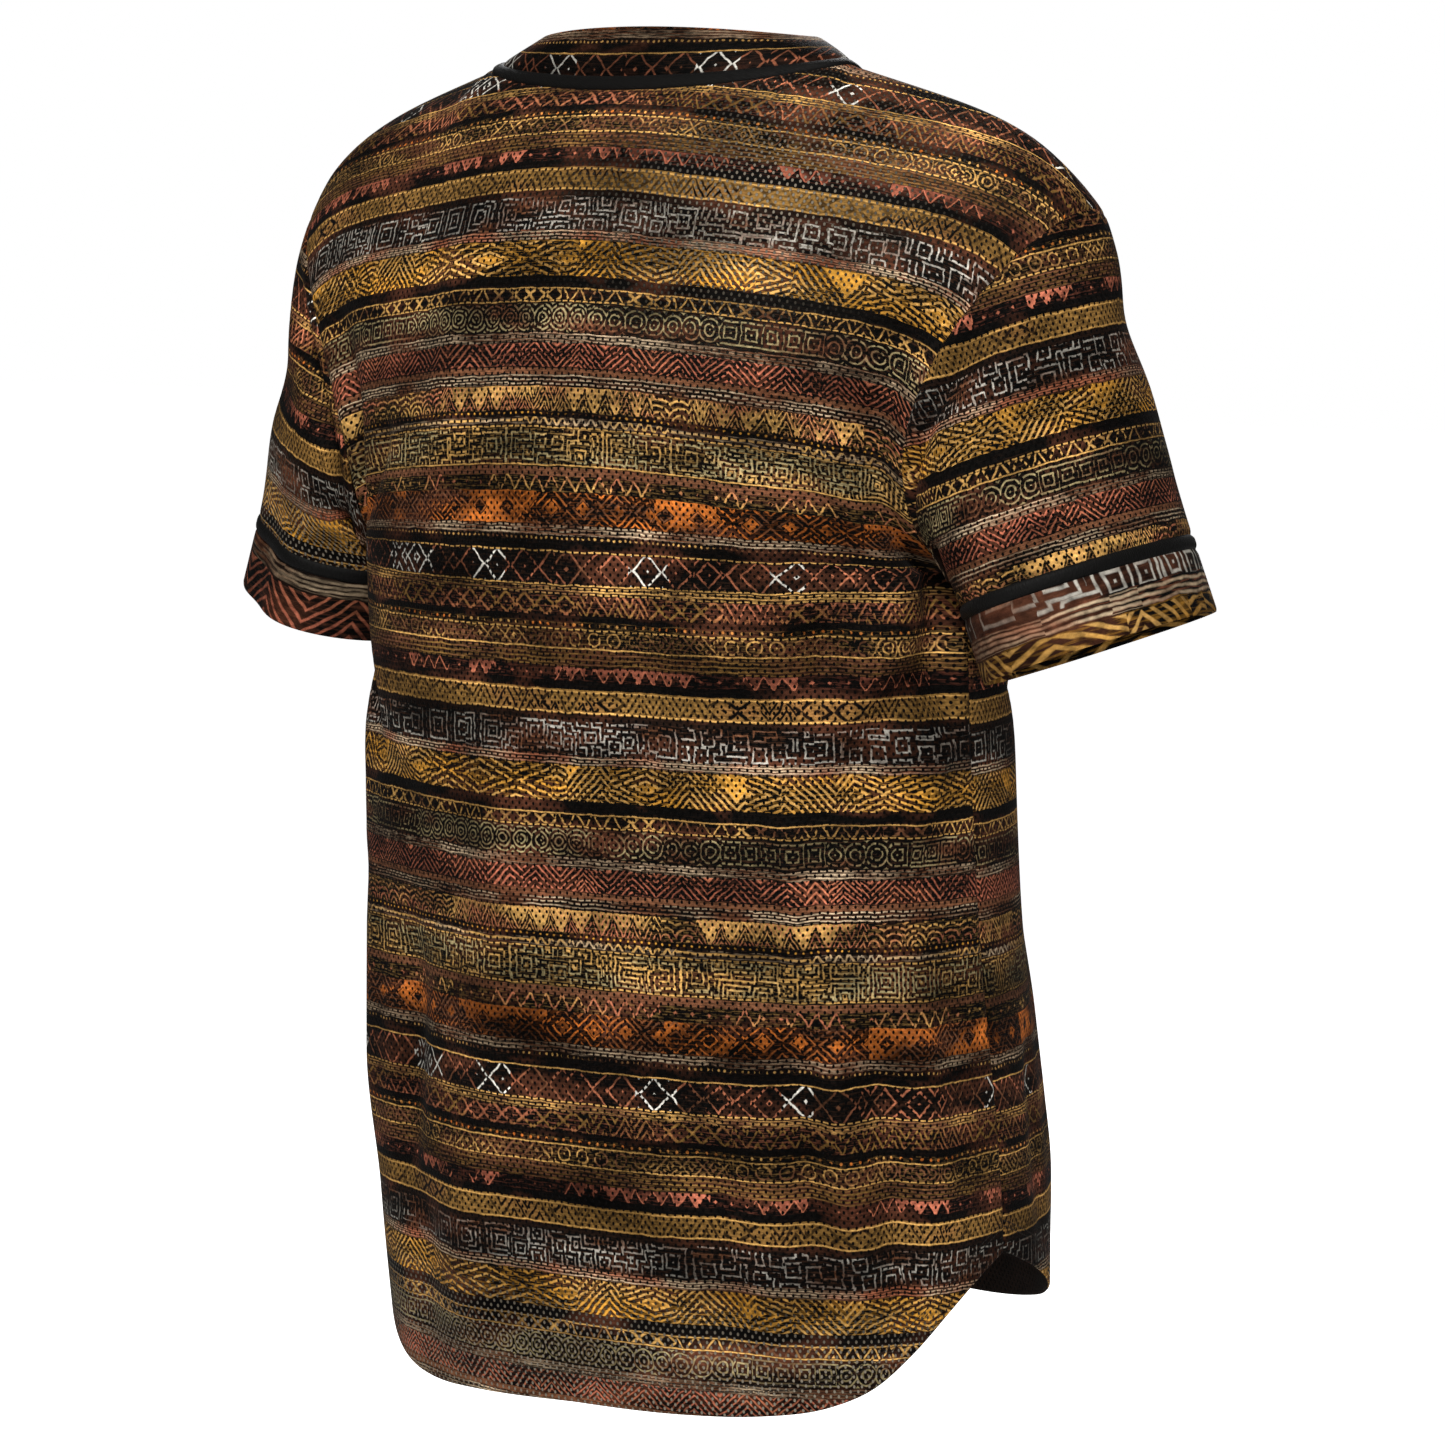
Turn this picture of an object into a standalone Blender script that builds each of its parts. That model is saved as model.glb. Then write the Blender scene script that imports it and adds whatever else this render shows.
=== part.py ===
"""Baseball jersey, filled out with no wearer.

Metres, +Z up. The front faces -Y and the wearer's right is at -X. The origin lies between the two high
shoulder points, where a wearer's shoulders carry the shirt.

Each cloth piece is a thin wall over a grid of points, worked out from the tables and sizes below.
"""

from collections import namedtuple
import math

import bmesh
import bpy
from mathutils import Matrix, Vector
import numpy as np

MM = 0.001
MIRROR = np.array((-1.0, 1.0, 1.0))
AHEAD = np.array((0.0, -1.0, 0.0))

# Cloth and seams
KNIT_WALL = 1.6 * MM
BAND_WALL = 1.8 * MM
SEAM_PULL = 0.20 * MM  # each piece stops this short of the seam line, so two pieces stand 0.4 mm apart
LAY_GAP = 0.35 * MM  # between a piece and what is laid on it

# Torso: level sections from below the tail up to the chest
Section = namedtuple("Section", "z half_width back_depth front_depth seam_y")
SECTIONS = (
    Section(-0.760, 0.1960, 0.1260, 0.1510, -0.025),
    Section(-0.620, 0.2020, 0.1250, 0.1590, -0.013),
    Section(-0.450, 0.1950, 0.1140, 0.1570, 0.003),
    Section(-0.305, 0.1945, 0.1090, 0.1580, 0.014),
    Section(-0.230, 0.1945, 0.1085, 0.1560, 0.015),
)
SECTION_POWER = 2.2  # 2 would be a true ellipse
UNDERARM_Z = -0.268

# Hem heights: a shirt tail, highest at the side seams; across is 0 at the centre and 1 at the side seam
Hem = namedtuple("Hem", "across back_right back_left front")
HEMS = (
    Hem(0.00, -0.7280, -0.7280, -0.7060),
    Hem(0.20, -0.7265, -0.7320, -0.7050),
    Hem(0.35, -0.7235, -0.7340, -0.7020),
    Hem(0.50, -0.7165, -0.7300, -0.6950),
    Hem(0.60, -0.7060, -0.7215, -0.6880),
    Hem(0.70, -0.6870, -0.7055, -0.6775),
    Hem(0.80, -0.6665, -0.6850, -0.6655),
    Hem(0.90, -0.6505, -0.6620, -0.6530),
    Hem(1.00, -0.6400, -0.6400, -0.6400),
)

# Armhole, from the side seam up to the end of the shoulder seam
SHOULDER_END = np.array((0.255, -0.008, -0.076))
ARMHOLE_BACK = 0.067
ARMHOLE_FRONT = 0.070
ARMHOLE_INSET_BACK = 0.0285
ARMHOLE_INSET_FRONT = 0.0360
ARMHOLE_INSET_LOW = 0.25  # how much more of the inset lies in the lower half

# Neck seam and the band that stands on it
NECK_HALF = 0.117
NECK_BACK_Y = 0.063
NECK_FRONT_Y = -0.098
NECK_POINT_Y = 0.013
NECK_BACK_Z = -0.0135
NECK_FRONT_Z = -0.092
BAND_TOP_HALF = 0.087
BAND_TOP_BACK_Y = 0.050
BAND_TOP_FRONT_Y = -0.083
BAND_TOP_POINT_Y = 0.001
BAND_TOP_BACK_Z = 0.0205
BAND_TOP_POINT_Z = 0.0150
BAND_TOP_FRONT_Z = -0.061
PIPING_WIDTH = 8.0 * MM
PIPING_WALL = 2.0 * MM
PIPING_BULGE = 1.2 * MM

# Shoulder seam: drop = linear part + steep part, from the neck to the sleeve
SHOULDER_SLOPE = 0.55
SHOULDER_STEEP_POWER = 5.5

# Sleeve: its end ring, for the wearer's left
CUFF_CENTRE = np.array((0.2520, -0.021, -0.3088))
CUFF_HALF_DEPTH = 0.083
CUFF_HALF_WIDTH = 0.0570
CUFF_OUTWARD = math.radians(20.0)
CUFF_FORWARD = math.radians(3.0)
SLEEVE_BAND_WIDTH = 35.0 * MM
SLEEVE_CLEAR = 3.0 * MM  # between the sleeve's inner side and the torso
SLEEVE_CLEAR_SOFT = 4.0 * MM
SLEEVE_CLEAR_FADE = 6.0 * MM  # below the underarm
UNDERARM_LIFT = 0.80 * MM  # the sleeve's edge stands this far off the torso where the two fold together

# Front closing: the wearer's left front lies over the right
OVERLAP_HALF = 16.0 * MM
CLOSING_STEP = 1.7 * MM  # each front steps this far out or in near the centre
CLOSING_FADE = 45.0 * MM
PLACKET_WALL = 1.4 * MM
BUTTON_COUNT = 6
BUTTON_RADIUS = 5.75 * MM
BUTTON_THICK = 2.6 * MM
BUTTON_FIRST = 0.060
BUTTON_LAST = 0.850

# Grids
COLUMNS_NECK = 8
COLUMNS_SHOULDER = 9
ROWS_BODY = 10
ROWS_CHEST = 13
SLEEVE_ROWS = 8
BAND_ROWS = 2
BUTTON_SIDES = 12
PIPING_ROWS = 3
NECK_SHARE = COLUMNS_NECK / (COLUMNS_NECK + COLUMNS_SHOULDER)
TOP_MIX_POWER = 2.2  # how late the chest rows turn from plain arcs into the neck and shoulder seams
CORNER_SPREAD = 0.42  # how widely the corner between neck and shoulder is rounded off on the rows below it
CORNER_STEPS = np.linspace(-1.0, 1.0, 9)

# Largest soft folds of the torso: side +1 back, -1 front; across is signed, + at the wearer's left
Fold = namedtuple("Fold", "side across z depth width length")
FOLDS = (
    Fold(+1, +0.16, -0.640, 0.0040, 0.085, 0.150),
    Fold(+1, -0.20, -0.560, -0.0035, 0.080, 0.190),
    Fold(+1, -0.50, -0.640, 0.0040, 0.085, 0.120),
    Fold(+1, +0.72, -0.310, -0.0032, 0.110, 0.110),
    Fold(+1, -0.62, -0.400, -0.0040, 0.070, 0.110),
    Fold(-1, +0.40, -0.600, 0.0050, 0.090, 0.170),
    Fold(-1, -0.38, -0.560, -0.0045, 0.085, 0.160),
    Fold(-1, +0.62, -0.430, -0.0040, 0.075, 0.120),
    Fold(-1, -0.70, -0.680, 0.0035, 0.080, 0.140),
)

# Waves of the sleeve ends: side +1 the wearer's left, around as in the sleeve folds
CuffWave = namedtuple("CuffWave", "side around depth width")
CUFF_WAVES = (
    CuffWave(+1, 1.24, -0.0075, 0.17),
    CuffWave(+1, 0.61, -0.0060, 0.12),
    CuffWave(-1, 1.18, 0.0028, 0.22),
    CuffWave(-1, 1.62, -0.0050, 0.20),
    CuffWave(-1, 0.30, -0.0030, 0.14),
)

HALF_GIRTH = 0.25  # from the centre line to the side seam
FOLD_FADE = 0.12  # folds die away over this share of the width before a side seam

# Sleeve folds: around is 0 at the underarm, 0.5 at the back, 1 at the top, 1.5 at the front; side 0 is both
SleeveFold = namedtuple("SleeveFold", "side around along depth width length")
SLEEVE_FOLDS = (
    SleeveFold(0, 0.24, 0.45, -0.0050, 0.10, 0.35),
    SleeveFold(0, 0.62, 0.75, 0.0040, 0.13, 0.40),
    SleeveFold(0, 1.72, 0.50, -0.0050, 0.11, 0.35),
    SleeveFold(+1, 0.84, 0.38, -0.0065, 0.22, 0.22),
    SleeveFold(-1, 1.20, 0.26, -0.0095, 0.22, 0.16),
)


def clear_scene():
    for obj in list(bpy.data.objects):
        bpy.data.objects.remove(obj)


def material(name, color, roughness, metallic=0.0):
    made = bpy.data.materials.new(name)
    made.use_nodes = True
    shader = made.node_tree.nodes["Principled BSDF"]
    shader.inputs["Base Color"].default_value = (*color, 1.0)
    shader.inputs["Roughness"].default_value = roughness
    shader.inputs["Metallic"].default_value = metallic
    return made


def smooth(t):
    t = np.clip(t, 0.0, 1.0)
    return t * t * (3.0 - 2.0 * t)


def unit(vectors):
    return vectors / np.linalg.norm(vectors, axis=-1, keepdims=True)


def bezier(t, *points):
    """A cubic through the first and last of four points."""
    t = np.asarray(t)[..., None]
    a, b, c, d = (np.asarray(point, float) for point in points)
    return (1 - t) ** 3 * a + 3 * t * (1 - t) ** 2 * b + 3 * t * t * (1 - t) * c + t**3 * d


def path(share, start, leave, end, arrive):
    """A smooth path between two points with its two end directions."""
    t = np.asarray(share)[..., None]
    return (
        (2 * t**3 - 3 * t**2 + 1) * start
        + (t**3 - 2 * t**2 + t) * leave
        + (3 * t**2 - 2 * t**3) * end
        + (t**3 - t**2) * arrive
    )


def read_table(rows, at):
    """The columns of a table after its first, as smooth curves of the first."""
    marks = np.array([row[0] for row in rows])
    values = np.array([row[1:] for row in rows])
    slopes = np.gradient(values, marks, axis=0)
    at = np.clip(np.asarray(at, float), marks[0], marks[-1])
    low = np.clip(np.searchsorted(marks, at) - 1, 0, len(marks) - 2)
    step = (marks[low + 1] - marks[low])[..., None]
    t = (at - marks[low])[..., None] / step
    found = (
        (2 * t**3 - 3 * t**2 + 1) * values[low]
        + (t**3 - 2 * t**2 + t) * step * slopes[low]
        + (3 * t**2 - 2 * t**3) * values[low + 1]
        + (t**3 - t**2) * step * slopes[low + 1]
    )
    return np.moveaxis(found, -1, 0)


def section_at(z):
    """Half width, depth behind, depth in front and seam line of the torso at a height."""
    return read_table(SECTIONS, z)


def power_sin(angle):
    return np.sign(np.sin(angle)) * np.abs(np.sin(angle)) ** (2.0 / SECTION_POWER)


def power_cos(angle):
    return np.abs(np.cos(angle)) ** (2.0 / SECTION_POWER)


def hem_z(side, across):
    """Height of the hem at a signed share of the way to the side seam, + at the wearer's left."""
    back_right, back_left, front = read_table(HEMS, np.abs(across))
    if side < 0:
        return front
    return np.where(across < 0, back_right, back_left)


def torso(side, across, z):
    """Points of the torso below the underarm."""
    half_width, back_depth, front_depth, seam_y = section_at(z)
    depth = back_depth if side > 0 else front_depth
    angle = across * math.pi / 2
    return np.stack([half_width * power_sin(angle), seam_y + side * depth * power_cos(angle), z], -1)


def armhole(side, share):
    """The armhole seam at +X: share 0 at the side seam, 1 at the shoulder."""
    half_width, _, _, seam_y = section_at(UNDERARM_Z)
    turn = math.pi * share
    rise = (1.0 - np.cos(turn)) / 2.0
    reach = ARMHOLE_BACK if side > 0 else ARMHOLE_FRONT
    inset = ARMHOLE_INSET_BACK if side > 0 else ARMHOLE_INSET_FRONT
    start = np.array((float(half_width), float(seam_y), UNDERARM_Z))
    found = start + (SHOULDER_END - start) * rise[..., None]
    found[..., 0] -= inset * np.sin(turn) ** 2 * (1.0 + ARMHOLE_INSET_LOW * np.cos(turn))
    found[..., 1] += side * reach * np.sin(turn)
    return found


def neck_ring(turn, half, back_y, front_y, point_y, back_z, front_z, point_z):
    """A loop round the neck: turn 0 at the centre back, pi/2 at the high point, pi at the centre front."""
    behind = np.cos(turn) > 0
    lean = np.abs(np.cos(turn))
    y = point_y + np.where(behind, back_y - point_y, front_y - point_y) * lean
    z = point_z + np.where(behind, back_z - point_z, front_z - point_z) * lean**1.6
    return np.stack([half * np.sin(turn), y, z], -1)


def neck_seam(turn):
    return neck_ring(
        turn, NECK_HALF, NECK_BACK_Y, NECK_FRONT_Y, NECK_POINT_Y, NECK_BACK_Z, NECK_FRONT_Z, point_z=0.0
    )


def band_top(turn):
    return neck_ring(
        turn,
        BAND_TOP_HALF,
        BAND_TOP_BACK_Y,
        BAND_TOP_FRONT_Y,
        BAND_TOP_POINT_Y,
        BAND_TOP_BACK_Z,
        BAND_TOP_FRONT_Z,
        BAND_TOP_POINT_Z,
    )


def shoulder_seam(share):
    """From the neck point (0) to the top of the sleeve (1), rounding over more and more steeply."""
    start = neck_seam(np.array(math.pi / 2))
    found = start + (SHOULDER_END - start) * share[..., None]
    drop = SHOULDER_SLOPE * share + (1 - SHOULDER_SLOPE) * share**SHOULDER_STEEP_POWER
    found[..., 2] = SHOULDER_END[2] * drop
    return found


def top_edge(side, across):
    """The upper edge of a panel: the neck seam, then the shoulder seam."""
    middle = 0.0 if side > 0 else math.pi
    turn = middle + side * (math.pi / 2) * np.minimum(across / NECK_SHARE, 1.0)
    share = np.clip((across - NECK_SHARE) / (1.0 - NECK_SHARE), 0.0, 1.0)
    return np.where((across <= NECK_SHARE)[..., None], neck_seam(turn), shoulder_seam(share))


def centre_line(side, share):
    """The middle of the back or front, from the underarm level to the neck seam."""
    _, back_depth, front_depth, seam_y = (float(value) for value in section_at(UNDERARM_Z))
    if side > 0:
        return bezier(
            share,
            (0, seam_y + back_depth, UNDERARM_Z),
            (0, seam_y + back_depth + 0.004, -0.165),
            (0, seam_y + back_depth - 0.014, -0.055),
            (0, NECK_BACK_Y, NECK_BACK_Z),
        )
    return bezier(
        share,
        (0, seam_y - front_depth, UNDERARM_Z),
        (0, seam_y - front_depth - 0.006, -0.200),
        (0, seam_y - front_depth + 0.010, -0.135),
        (0, NECK_FRONT_Y, NECK_FRONT_Z),
    )


def top_departure(side, across, share):
    """How far the neck and shoulder seams lie from the plain arc, smoothed the more the lower the row."""
    spread = CORNER_SPREAD * (1.0 - share) * 4.0 * across * (1.0 - across)
    total = 0.0
    for offset in CORNER_STEPS:
        near = np.clip(across + offset * spread, 0.0, 1.0)
        total = total + top_edge(side, near) - plain_arc(side, near, np.ones_like(near))
    return total / len(CORNER_STEPS)


def armhole_share(share):
    """The place on the armhole seam where a chest row ends."""
    return share**0.85


def plain_arc(side, across, share):
    """A row of the chest as an arc from the middle line to the armhole."""
    edge = armhole(side, armhole_share(share))
    middle = centre_line(side, share)
    _, back_depth, front_depth, seam_y = (float(value) for value in section_at(UNDERARM_Z))
    depth = back_depth if side > 0 else front_depth
    cosine = np.clip(side * (edge[..., 1] - seam_y) / depth, 0.0, 0.999) ** (SECTION_POWER / 2.0)
    widest = np.arccos(cosine)
    angle = across * widest
    lean = (power_cos(angle) - power_cos(widest)) / (1.0 - power_cos(widest))
    return np.stack(
        [
            edge[..., 0] * power_sin(angle) / power_sin(widest),
            edge[..., 1] + (middle[..., 1] - edge[..., 1]) * lean,
            middle[..., 2] + (edge[..., 2] - middle[..., 2]) * across**2.0,
        ],
        -1,
    )


def chest(side, across, share):
    """Points between the underarm level (share 0) and the neck and shoulder seams (share 1), at +X."""
    arc = plain_arc(side, np.abs(across), share)
    mix = (share**TOP_MIX_POWER)[..., None]
    found = arc + mix * top_departure(side, np.abs(across), share)
    found[..., 0] *= np.where(across < 0, -1.0, 1.0)
    return found


def panel_point(side, across, climb):
    """A point of the torso: climb 0 at the hem, 1 at the underarm level, 2 at the upper seams."""
    across, climb = np.broadcast_arrays(np.asarray(across, float), np.asarray(climb, float))
    hem = hem_z(side, across)
    z = hem + (UNDERARM_Z - hem) * np.clip(climb, 0.0, 1.0)
    low = torso(side, across, z)
    high = chest(side, across, np.clip(climb - 1.0, 0.0, 1.0))
    return np.where((climb <= 1.0)[..., None], low, high)


def grid_normals(grid, closed=False):
    """Unit normals of a grid of points, rows by columns, facing out of the shirt."""
    if closed:
        across = np.roll(grid, -1, axis=1) - np.roll(grid, 1, axis=1)
    else:
        across = np.gradient(grid, axis=1)
    along = np.gradient(grid, axis=0)
    return unit(np.cross(across, along))


def add_folds(grid, normals, side, across):
    """Moves the points of a torso panel out at ridges and in at troughs."""
    for fold in FOLDS:
        if fold.side != side:
            continue
        near = ((across - fold.across) * HALF_GIRTH / fold.width) ** 2
        near = near + ((grid[..., 2] - fold.z) / fold.length) ** 2
        fade = smooth((1.0 - np.abs(across)) / FOLD_FADE)
        grid = grid + normals * (fold.depth * np.exp(-near) * fade)[..., None]
    return grid


def closing_step(x, over):
    """How far a front stands ahead of the seam line (over) or behind it (under) near the centre front."""
    reach = smooth(1.0 - (np.abs(x) - OVERLAP_HALF) / CLOSING_FADE)
    return (1.0 if over else -1.0) * CLOSING_STEP * reach


def pull_edges(grid, sides):
    """Moves the named edges of a grid inwards along the cloth, which leaves the seam gap."""
    grid = grid.copy()
    for edge, inner, name in (
        ((0, slice(None)), (1, slice(None)), "bottom"),
        ((-1, slice(None)), (-2, slice(None)), "top"),
        ((slice(None), 0), (slice(None), 1), "first"),
        ((slice(None), -1), (slice(None), -2), "last"),
    ):
        if name in sides:
            way = grid[inner] - grid[edge]
            grid[edge] += unit(way) * SEAM_PULL
    return grid


def wall_object(name, outer, inner, mat, closed=False):
    """A solid between two grids of points, rows by columns. A closed grid wraps round its columns."""
    rows, columns = outer.shape[:2]
    mesh = bmesh.new()
    skins = [[[mesh.verts.new(point) for point in row] for row in grid] for grid in (outer, inner)]
    out, back = skins
    last = columns if closed else columns - 1

    def quad(a, b, c, d):
        mesh.faces.new((a, b, c, d))

    for i in range(rows - 1):
        for j in range(last):
            k = (j + 1) % columns
            quad(out[i][j], out[i][k], out[i + 1][k], out[i + 1][j])
            quad(back[i][j], back[i + 1][j], back[i + 1][k], back[i][k])
    for j in range(last):
        k = (j + 1) % columns
        quad(back[0][j], back[0][k], out[0][k], out[0][j])
        quad(out[-1][j], out[-1][k], back[-1][k], back[-1][j])
    if not closed:
        for i in range(rows - 1):
            quad(out[i][0], out[i + 1][0], back[i + 1][0], back[i][0])
            quad(back[i][-1], back[i + 1][-1], out[i + 1][-1], out[i][-1])
    if mesh.calc_volume(signed=True) < 0:
        bmesh.ops.reverse_faces(mesh, faces=mesh.faces)
    data = bpy.data.meshes.new(name)
    mesh.to_mesh(data)
    mesh.free()
    data.shade_smooth()
    data.set_sharp_from_angle(angle=math.radians(50))
    data.materials.append(mat)
    made = bpy.data.objects.new(name, data)
    bpy.context.scene.collection.objects.link(made)
    return made


def cloth_wall(name, outer, normals, thickness, mat, closed=False):
    return wall_object(name, outer, outer - normals * thickness, mat, closed)


def climb_rows():
    """Row positions from the hem to the top, closer together round the underarm."""
    low = np.linspace(0.0, 1.0, ROWS_BODY + 1)
    high = 1.0 + np.linspace(0.0, 1.0, ROWS_CHEST + 1)[1:] ** 1.15
    return np.concatenate([low, high])


def half_columns():
    neck = np.linspace(0.0, NECK_SHARE, COLUMNS_NECK + 1)
    shoulder = np.linspace(NECK_SHARE, 1.0, COLUMNS_SHOULDER + 1)[1:]
    return np.concatenate([neck, shoulder])


def whole_places():
    """Places of a whole panel's grid, from the wearer's right side seam to the left."""
    return np.meshgrid(np.concatenate([-half_columns()[:0:-1], half_columns()]), climb_rows())


def armhole_places():
    """Columns of the sleeve that meet the chest rows of the back, and those that meet the front's."""
    rows = np.arange(ROWS_CHEST + 1)
    return rows, -rows % (2 * ROWS_CHEST)


def neck_places():
    """Columns of the neck strip that meet the neck columns of the back, and those of the front, at +X."""
    columns = np.arange(COLUMNS_NECK + 1)
    middle = 2 * COLUMNS_NECK + 1
    return middle + columns, middle + 2 * COLUMNS_NECK - columns


def shared_normals():
    """Normals of the back, of the whole front, of the sleeve's first row and of the neck strip's first line.

    Pieces that meet at a seam have the same normals there, so their walls stand side by side. At the
    underarm, where torso and sleeve fold apart, each keeps its own.
    """
    across, climb = whole_places()
    panels = [grid_normals(panel_point(side, across, climb)) * -side for side in (+1, -1)]
    both = unit(panels[0] + panels[1])
    side_seam = (np.abs(across) > 0.999) & (climb < 1.001)
    shoulder_seam_row = (np.abs(across) > NECK_SHARE - 0.001) & (climb > 1.999)
    meets = (side_seam | shoulder_seam_row)[..., None]
    panels = [np.where(meets, both, panel) for panel in panels]

    sleeve_own = outward_normals(sleeve_rows(0))[0]
    sleeve = sleeve_own.copy()
    for panel, places in zip(panels, armhole_places()):
        edge = panel[ROWS_BODY:, -1]
        weight = smooth((turn_between(around_columns()[places], 0.0) - 0.15) / 0.25)[:, None]
        shared = unit(edge + sleeve_own[places])
        panel[ROWS_BODY:, -1] = unit(edge * (1.0 - weight) + shared * weight)
        panel[ROWS_BODY:, 0] = panel[ROWS_BODY:, -1] * MIRROR
        sleeve[places] = unit(sleeve_own[places] * (1.0 - weight) + shared * weight)

    neck_own = neck_normals()
    neck = neck_own.copy()
    middle = len(half_columns()) - 1
    for panel, places in zip(panels, neck_places()):
        columns = middle + np.arange(COLUMNS_NECK + 1)
        even = unit(neck_own[places] + neck_own[::-1][places] * MIRROR)
        shared = unit(panel[-1, columns] + even)
        panel[-1, columns] = shared
        panel[-1, 2 * middle - columns] = shared * MIRROR
        neck[places] = shared
        neck[len(neck) - 1 - places] = shared * MIRROR
    neck[0] = neck[1]
    neck[-1] = neck[-2]
    return panels[0], panels[1], sleeve, neck


def make_back(mat):
    across, climb = whole_places()
    normals = shared_normals()[0]
    grid = add_folds(panel_point(+1, across, climb), normals, +1, across)
    grid = pull_edges(grid, ("top", "first", "last"))
    cloth_wall("back", grid, normals, KNIT_WALL, mat)


def across_at(climb, distance):
    """The share of the front's width that lies at a small distance in x from the centre, on each row."""
    probe = 0.02
    spread = panel_point(-1, np.full_like(climb, probe), climb)[..., 0] / probe
    return distance / spread[:, None]


def front_grid(over):
    """One front panel as if at +X, over or under the other. It runs from its free edge to the side seam."""
    climb = climb_rows()
    columns = half_columns()
    free_edge = across_at(climb, np.array([-OVERLAP_HALF]))
    across = np.concatenate([free_edge, np.broadcast_to(columns, (len(climb), len(columns)))], axis=1)
    grid = panel_point(-1, across, np.broadcast_to(climb[:, None], across.shape))
    normals = grid_normals(grid)
    whole = shared_normals()[1]
    if over:
        normals[:, 1:] = whole[:, -len(columns) :]
    else:
        normals[:, 1:] = whole[:, : len(columns)][:, ::-1] * MIRROR
    normals[-1, 0] = normals[-1, 1]
    grid = add_folds(grid, normals, -1, across if over else -across)
    grid = grid + AHEAD * closing_step(grid[..., 0], over)[..., None]
    return pull_edges(grid, ("top", "last")), normals


def make_fronts(mat):
    grid, normals = front_grid(over=True)
    cloth_wall("front_left", grid, normals, KNIT_WALL, mat)
    grid, normals = front_grid(over=False)
    cloth_wall("front_right", grid * MIRROR, normals * MIRROR, KNIT_WALL, mat)


def placket_surface(climb, distances, lift):
    """Points and normals that lie on the closing edge of the wearer's left front, moved out by a lift."""
    across = across_at(climb, distances[None, :])
    grid = panel_point(-1, across, np.broadcast_to(climb[:, None], across.shape))
    normals = grid_normals(grid)
    grid = add_folds(grid, normals, -1, across)
    step = closing_step(grid[..., 0], True)[..., None]
    return grid + AHEAD * step + normals * lift, normals


def make_placket(mat):
    climb = climb_rows()
    margin = 0.3 * MM
    distances = np.linspace(-OVERLAP_HALF + margin, OVERLAP_HALF - margin, 5)
    grid, normals = placket_surface(climb, distances, LAY_GAP + PLACKET_WALL)
    grid = pull_edges(grid, ("top", "bottom"))
    cloth_wall("placket", grid, normals, PLACKET_WALL, mat)


def make_buttons(mat):
    """Round buttons with a raised rim, flat against the placket."""
    shares = np.linspace(BUTTON_FIRST, BUTTON_LAST, BUTTON_COUNT)
    top = panel_point(-1, 0.0, 2.0)[2]
    low = panel_point(-1, 0.0, 0.0)[2]
    climbs = np.linspace(0.0, 2.0, 201)
    heights = panel_point(-1, np.zeros_like(climbs), climbs)[:, 2]
    for number, share in enumerate(shares, 1):
        climb = float(np.interp(top + (low - top) * share, heights, climbs))
        spots = np.array((climb - 0.01, climb, climb + 0.01))
        lift = 2 * LAY_GAP + PLACKET_WALL
        grid, normals = placket_surface(spots, np.array((-0.004, 0.0, 0.004)), lift)
        rim = 0.8 * MM
        profile = (
            (0.0, 0.0),
            (BUTTON_RADIUS - rim, 0.0),
            (BUTTON_RADIUS, rim),
            (BUTTON_RADIUS, BUTTON_THICK - rim / 2),
            (BUTTON_RADIUS - rim, BUTTON_THICK),
            (BUTTON_RADIUS - 2 * rim, BUTTON_THICK - rim),
            (0.0, BUTTON_THICK - rim),
        )
        mesh = bmesh.new()
        points = [mesh.verts.new((radius, 0.0, height)) for radius, height in profile]
        edges = [mesh.edges.new(pair) for pair in zip(points, points[1:])]
        axis = (0, 0, 1)
        centre = (0, 0, 0)
        bmesh.ops.spin(
            mesh, geom=points + edges, axis=axis, cent=centre, steps=BUTTON_SIDES, angle=math.tau
        )
        bmesh.ops.remove_doubles(mesh, verts=mesh.verts, dist=1e-6)
        bmesh.ops.recalc_face_normals(mesh, faces=mesh.faces)
        name = f"button_{number}"
        data = bpy.data.meshes.new(name)
        mesh.to_mesh(data)
        mesh.free()
        data.shade_smooth()
        data.set_sharp_from_angle(angle=math.radians(40))
        data.materials.append(mat)
        made = bpy.data.objects.new(name, data)
        turn = Vector(normals[1, 1]).to_track_quat("Z", "Y").to_matrix().to_4x4()
        made.matrix_world = Matrix.Translation(Vector(grid[1, 1])) @ turn
        bpy.context.scene.collection.objects.link(made)


def cuff_axes():
    """The sleeve's direction at its end, and the axes of its ring: to the outside and to the back."""
    along = np.array(
        (
            math.sin(CUFF_OUTWARD),
            -math.sin(CUFF_FORWARD) * math.cos(CUFF_OUTWARD),
            -math.cos(CUFF_OUTWARD) * math.cos(CUFF_FORWARD),
        )
    )
    outward = unit(np.cross((0.0, 1.0, 0.0), -along))
    backward = unit(np.cross(outward, along))
    return along, outward, backward * np.sign(backward[1])


def turn_between(around, mark):
    """The shorter way round a sleeve between two places."""
    turn = np.abs(around - mark)
    return np.minimum(turn, 2.0 - turn)


def clear_of_torso(points):
    """Points of a sleeve at +X, moved out where they would touch the torso's side below the underarm."""
    half_width, back_depth, front_depth, seam_y = section_at(points[..., 2])
    behind = points[..., 1] - seam_y
    share = np.minimum(np.abs(behind) / np.where(behind > 0, back_depth, front_depth), 1.0)
    torso_x = half_width * (1.0 - share**SECTION_POWER) ** (1.0 / SECTION_POWER)
    short = torso_x + SLEEVE_CLEAR - points[..., 0]
    push = (short + np.sqrt(short**2 + SLEEVE_CLEAR_SOFT**2)) / 2.0
    moved = points.copy()
    moved[..., 0] += push * smooth((UNDERARM_Z - points[..., 2]) / SLEEVE_CLEAR_FADE)
    return moved


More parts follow.
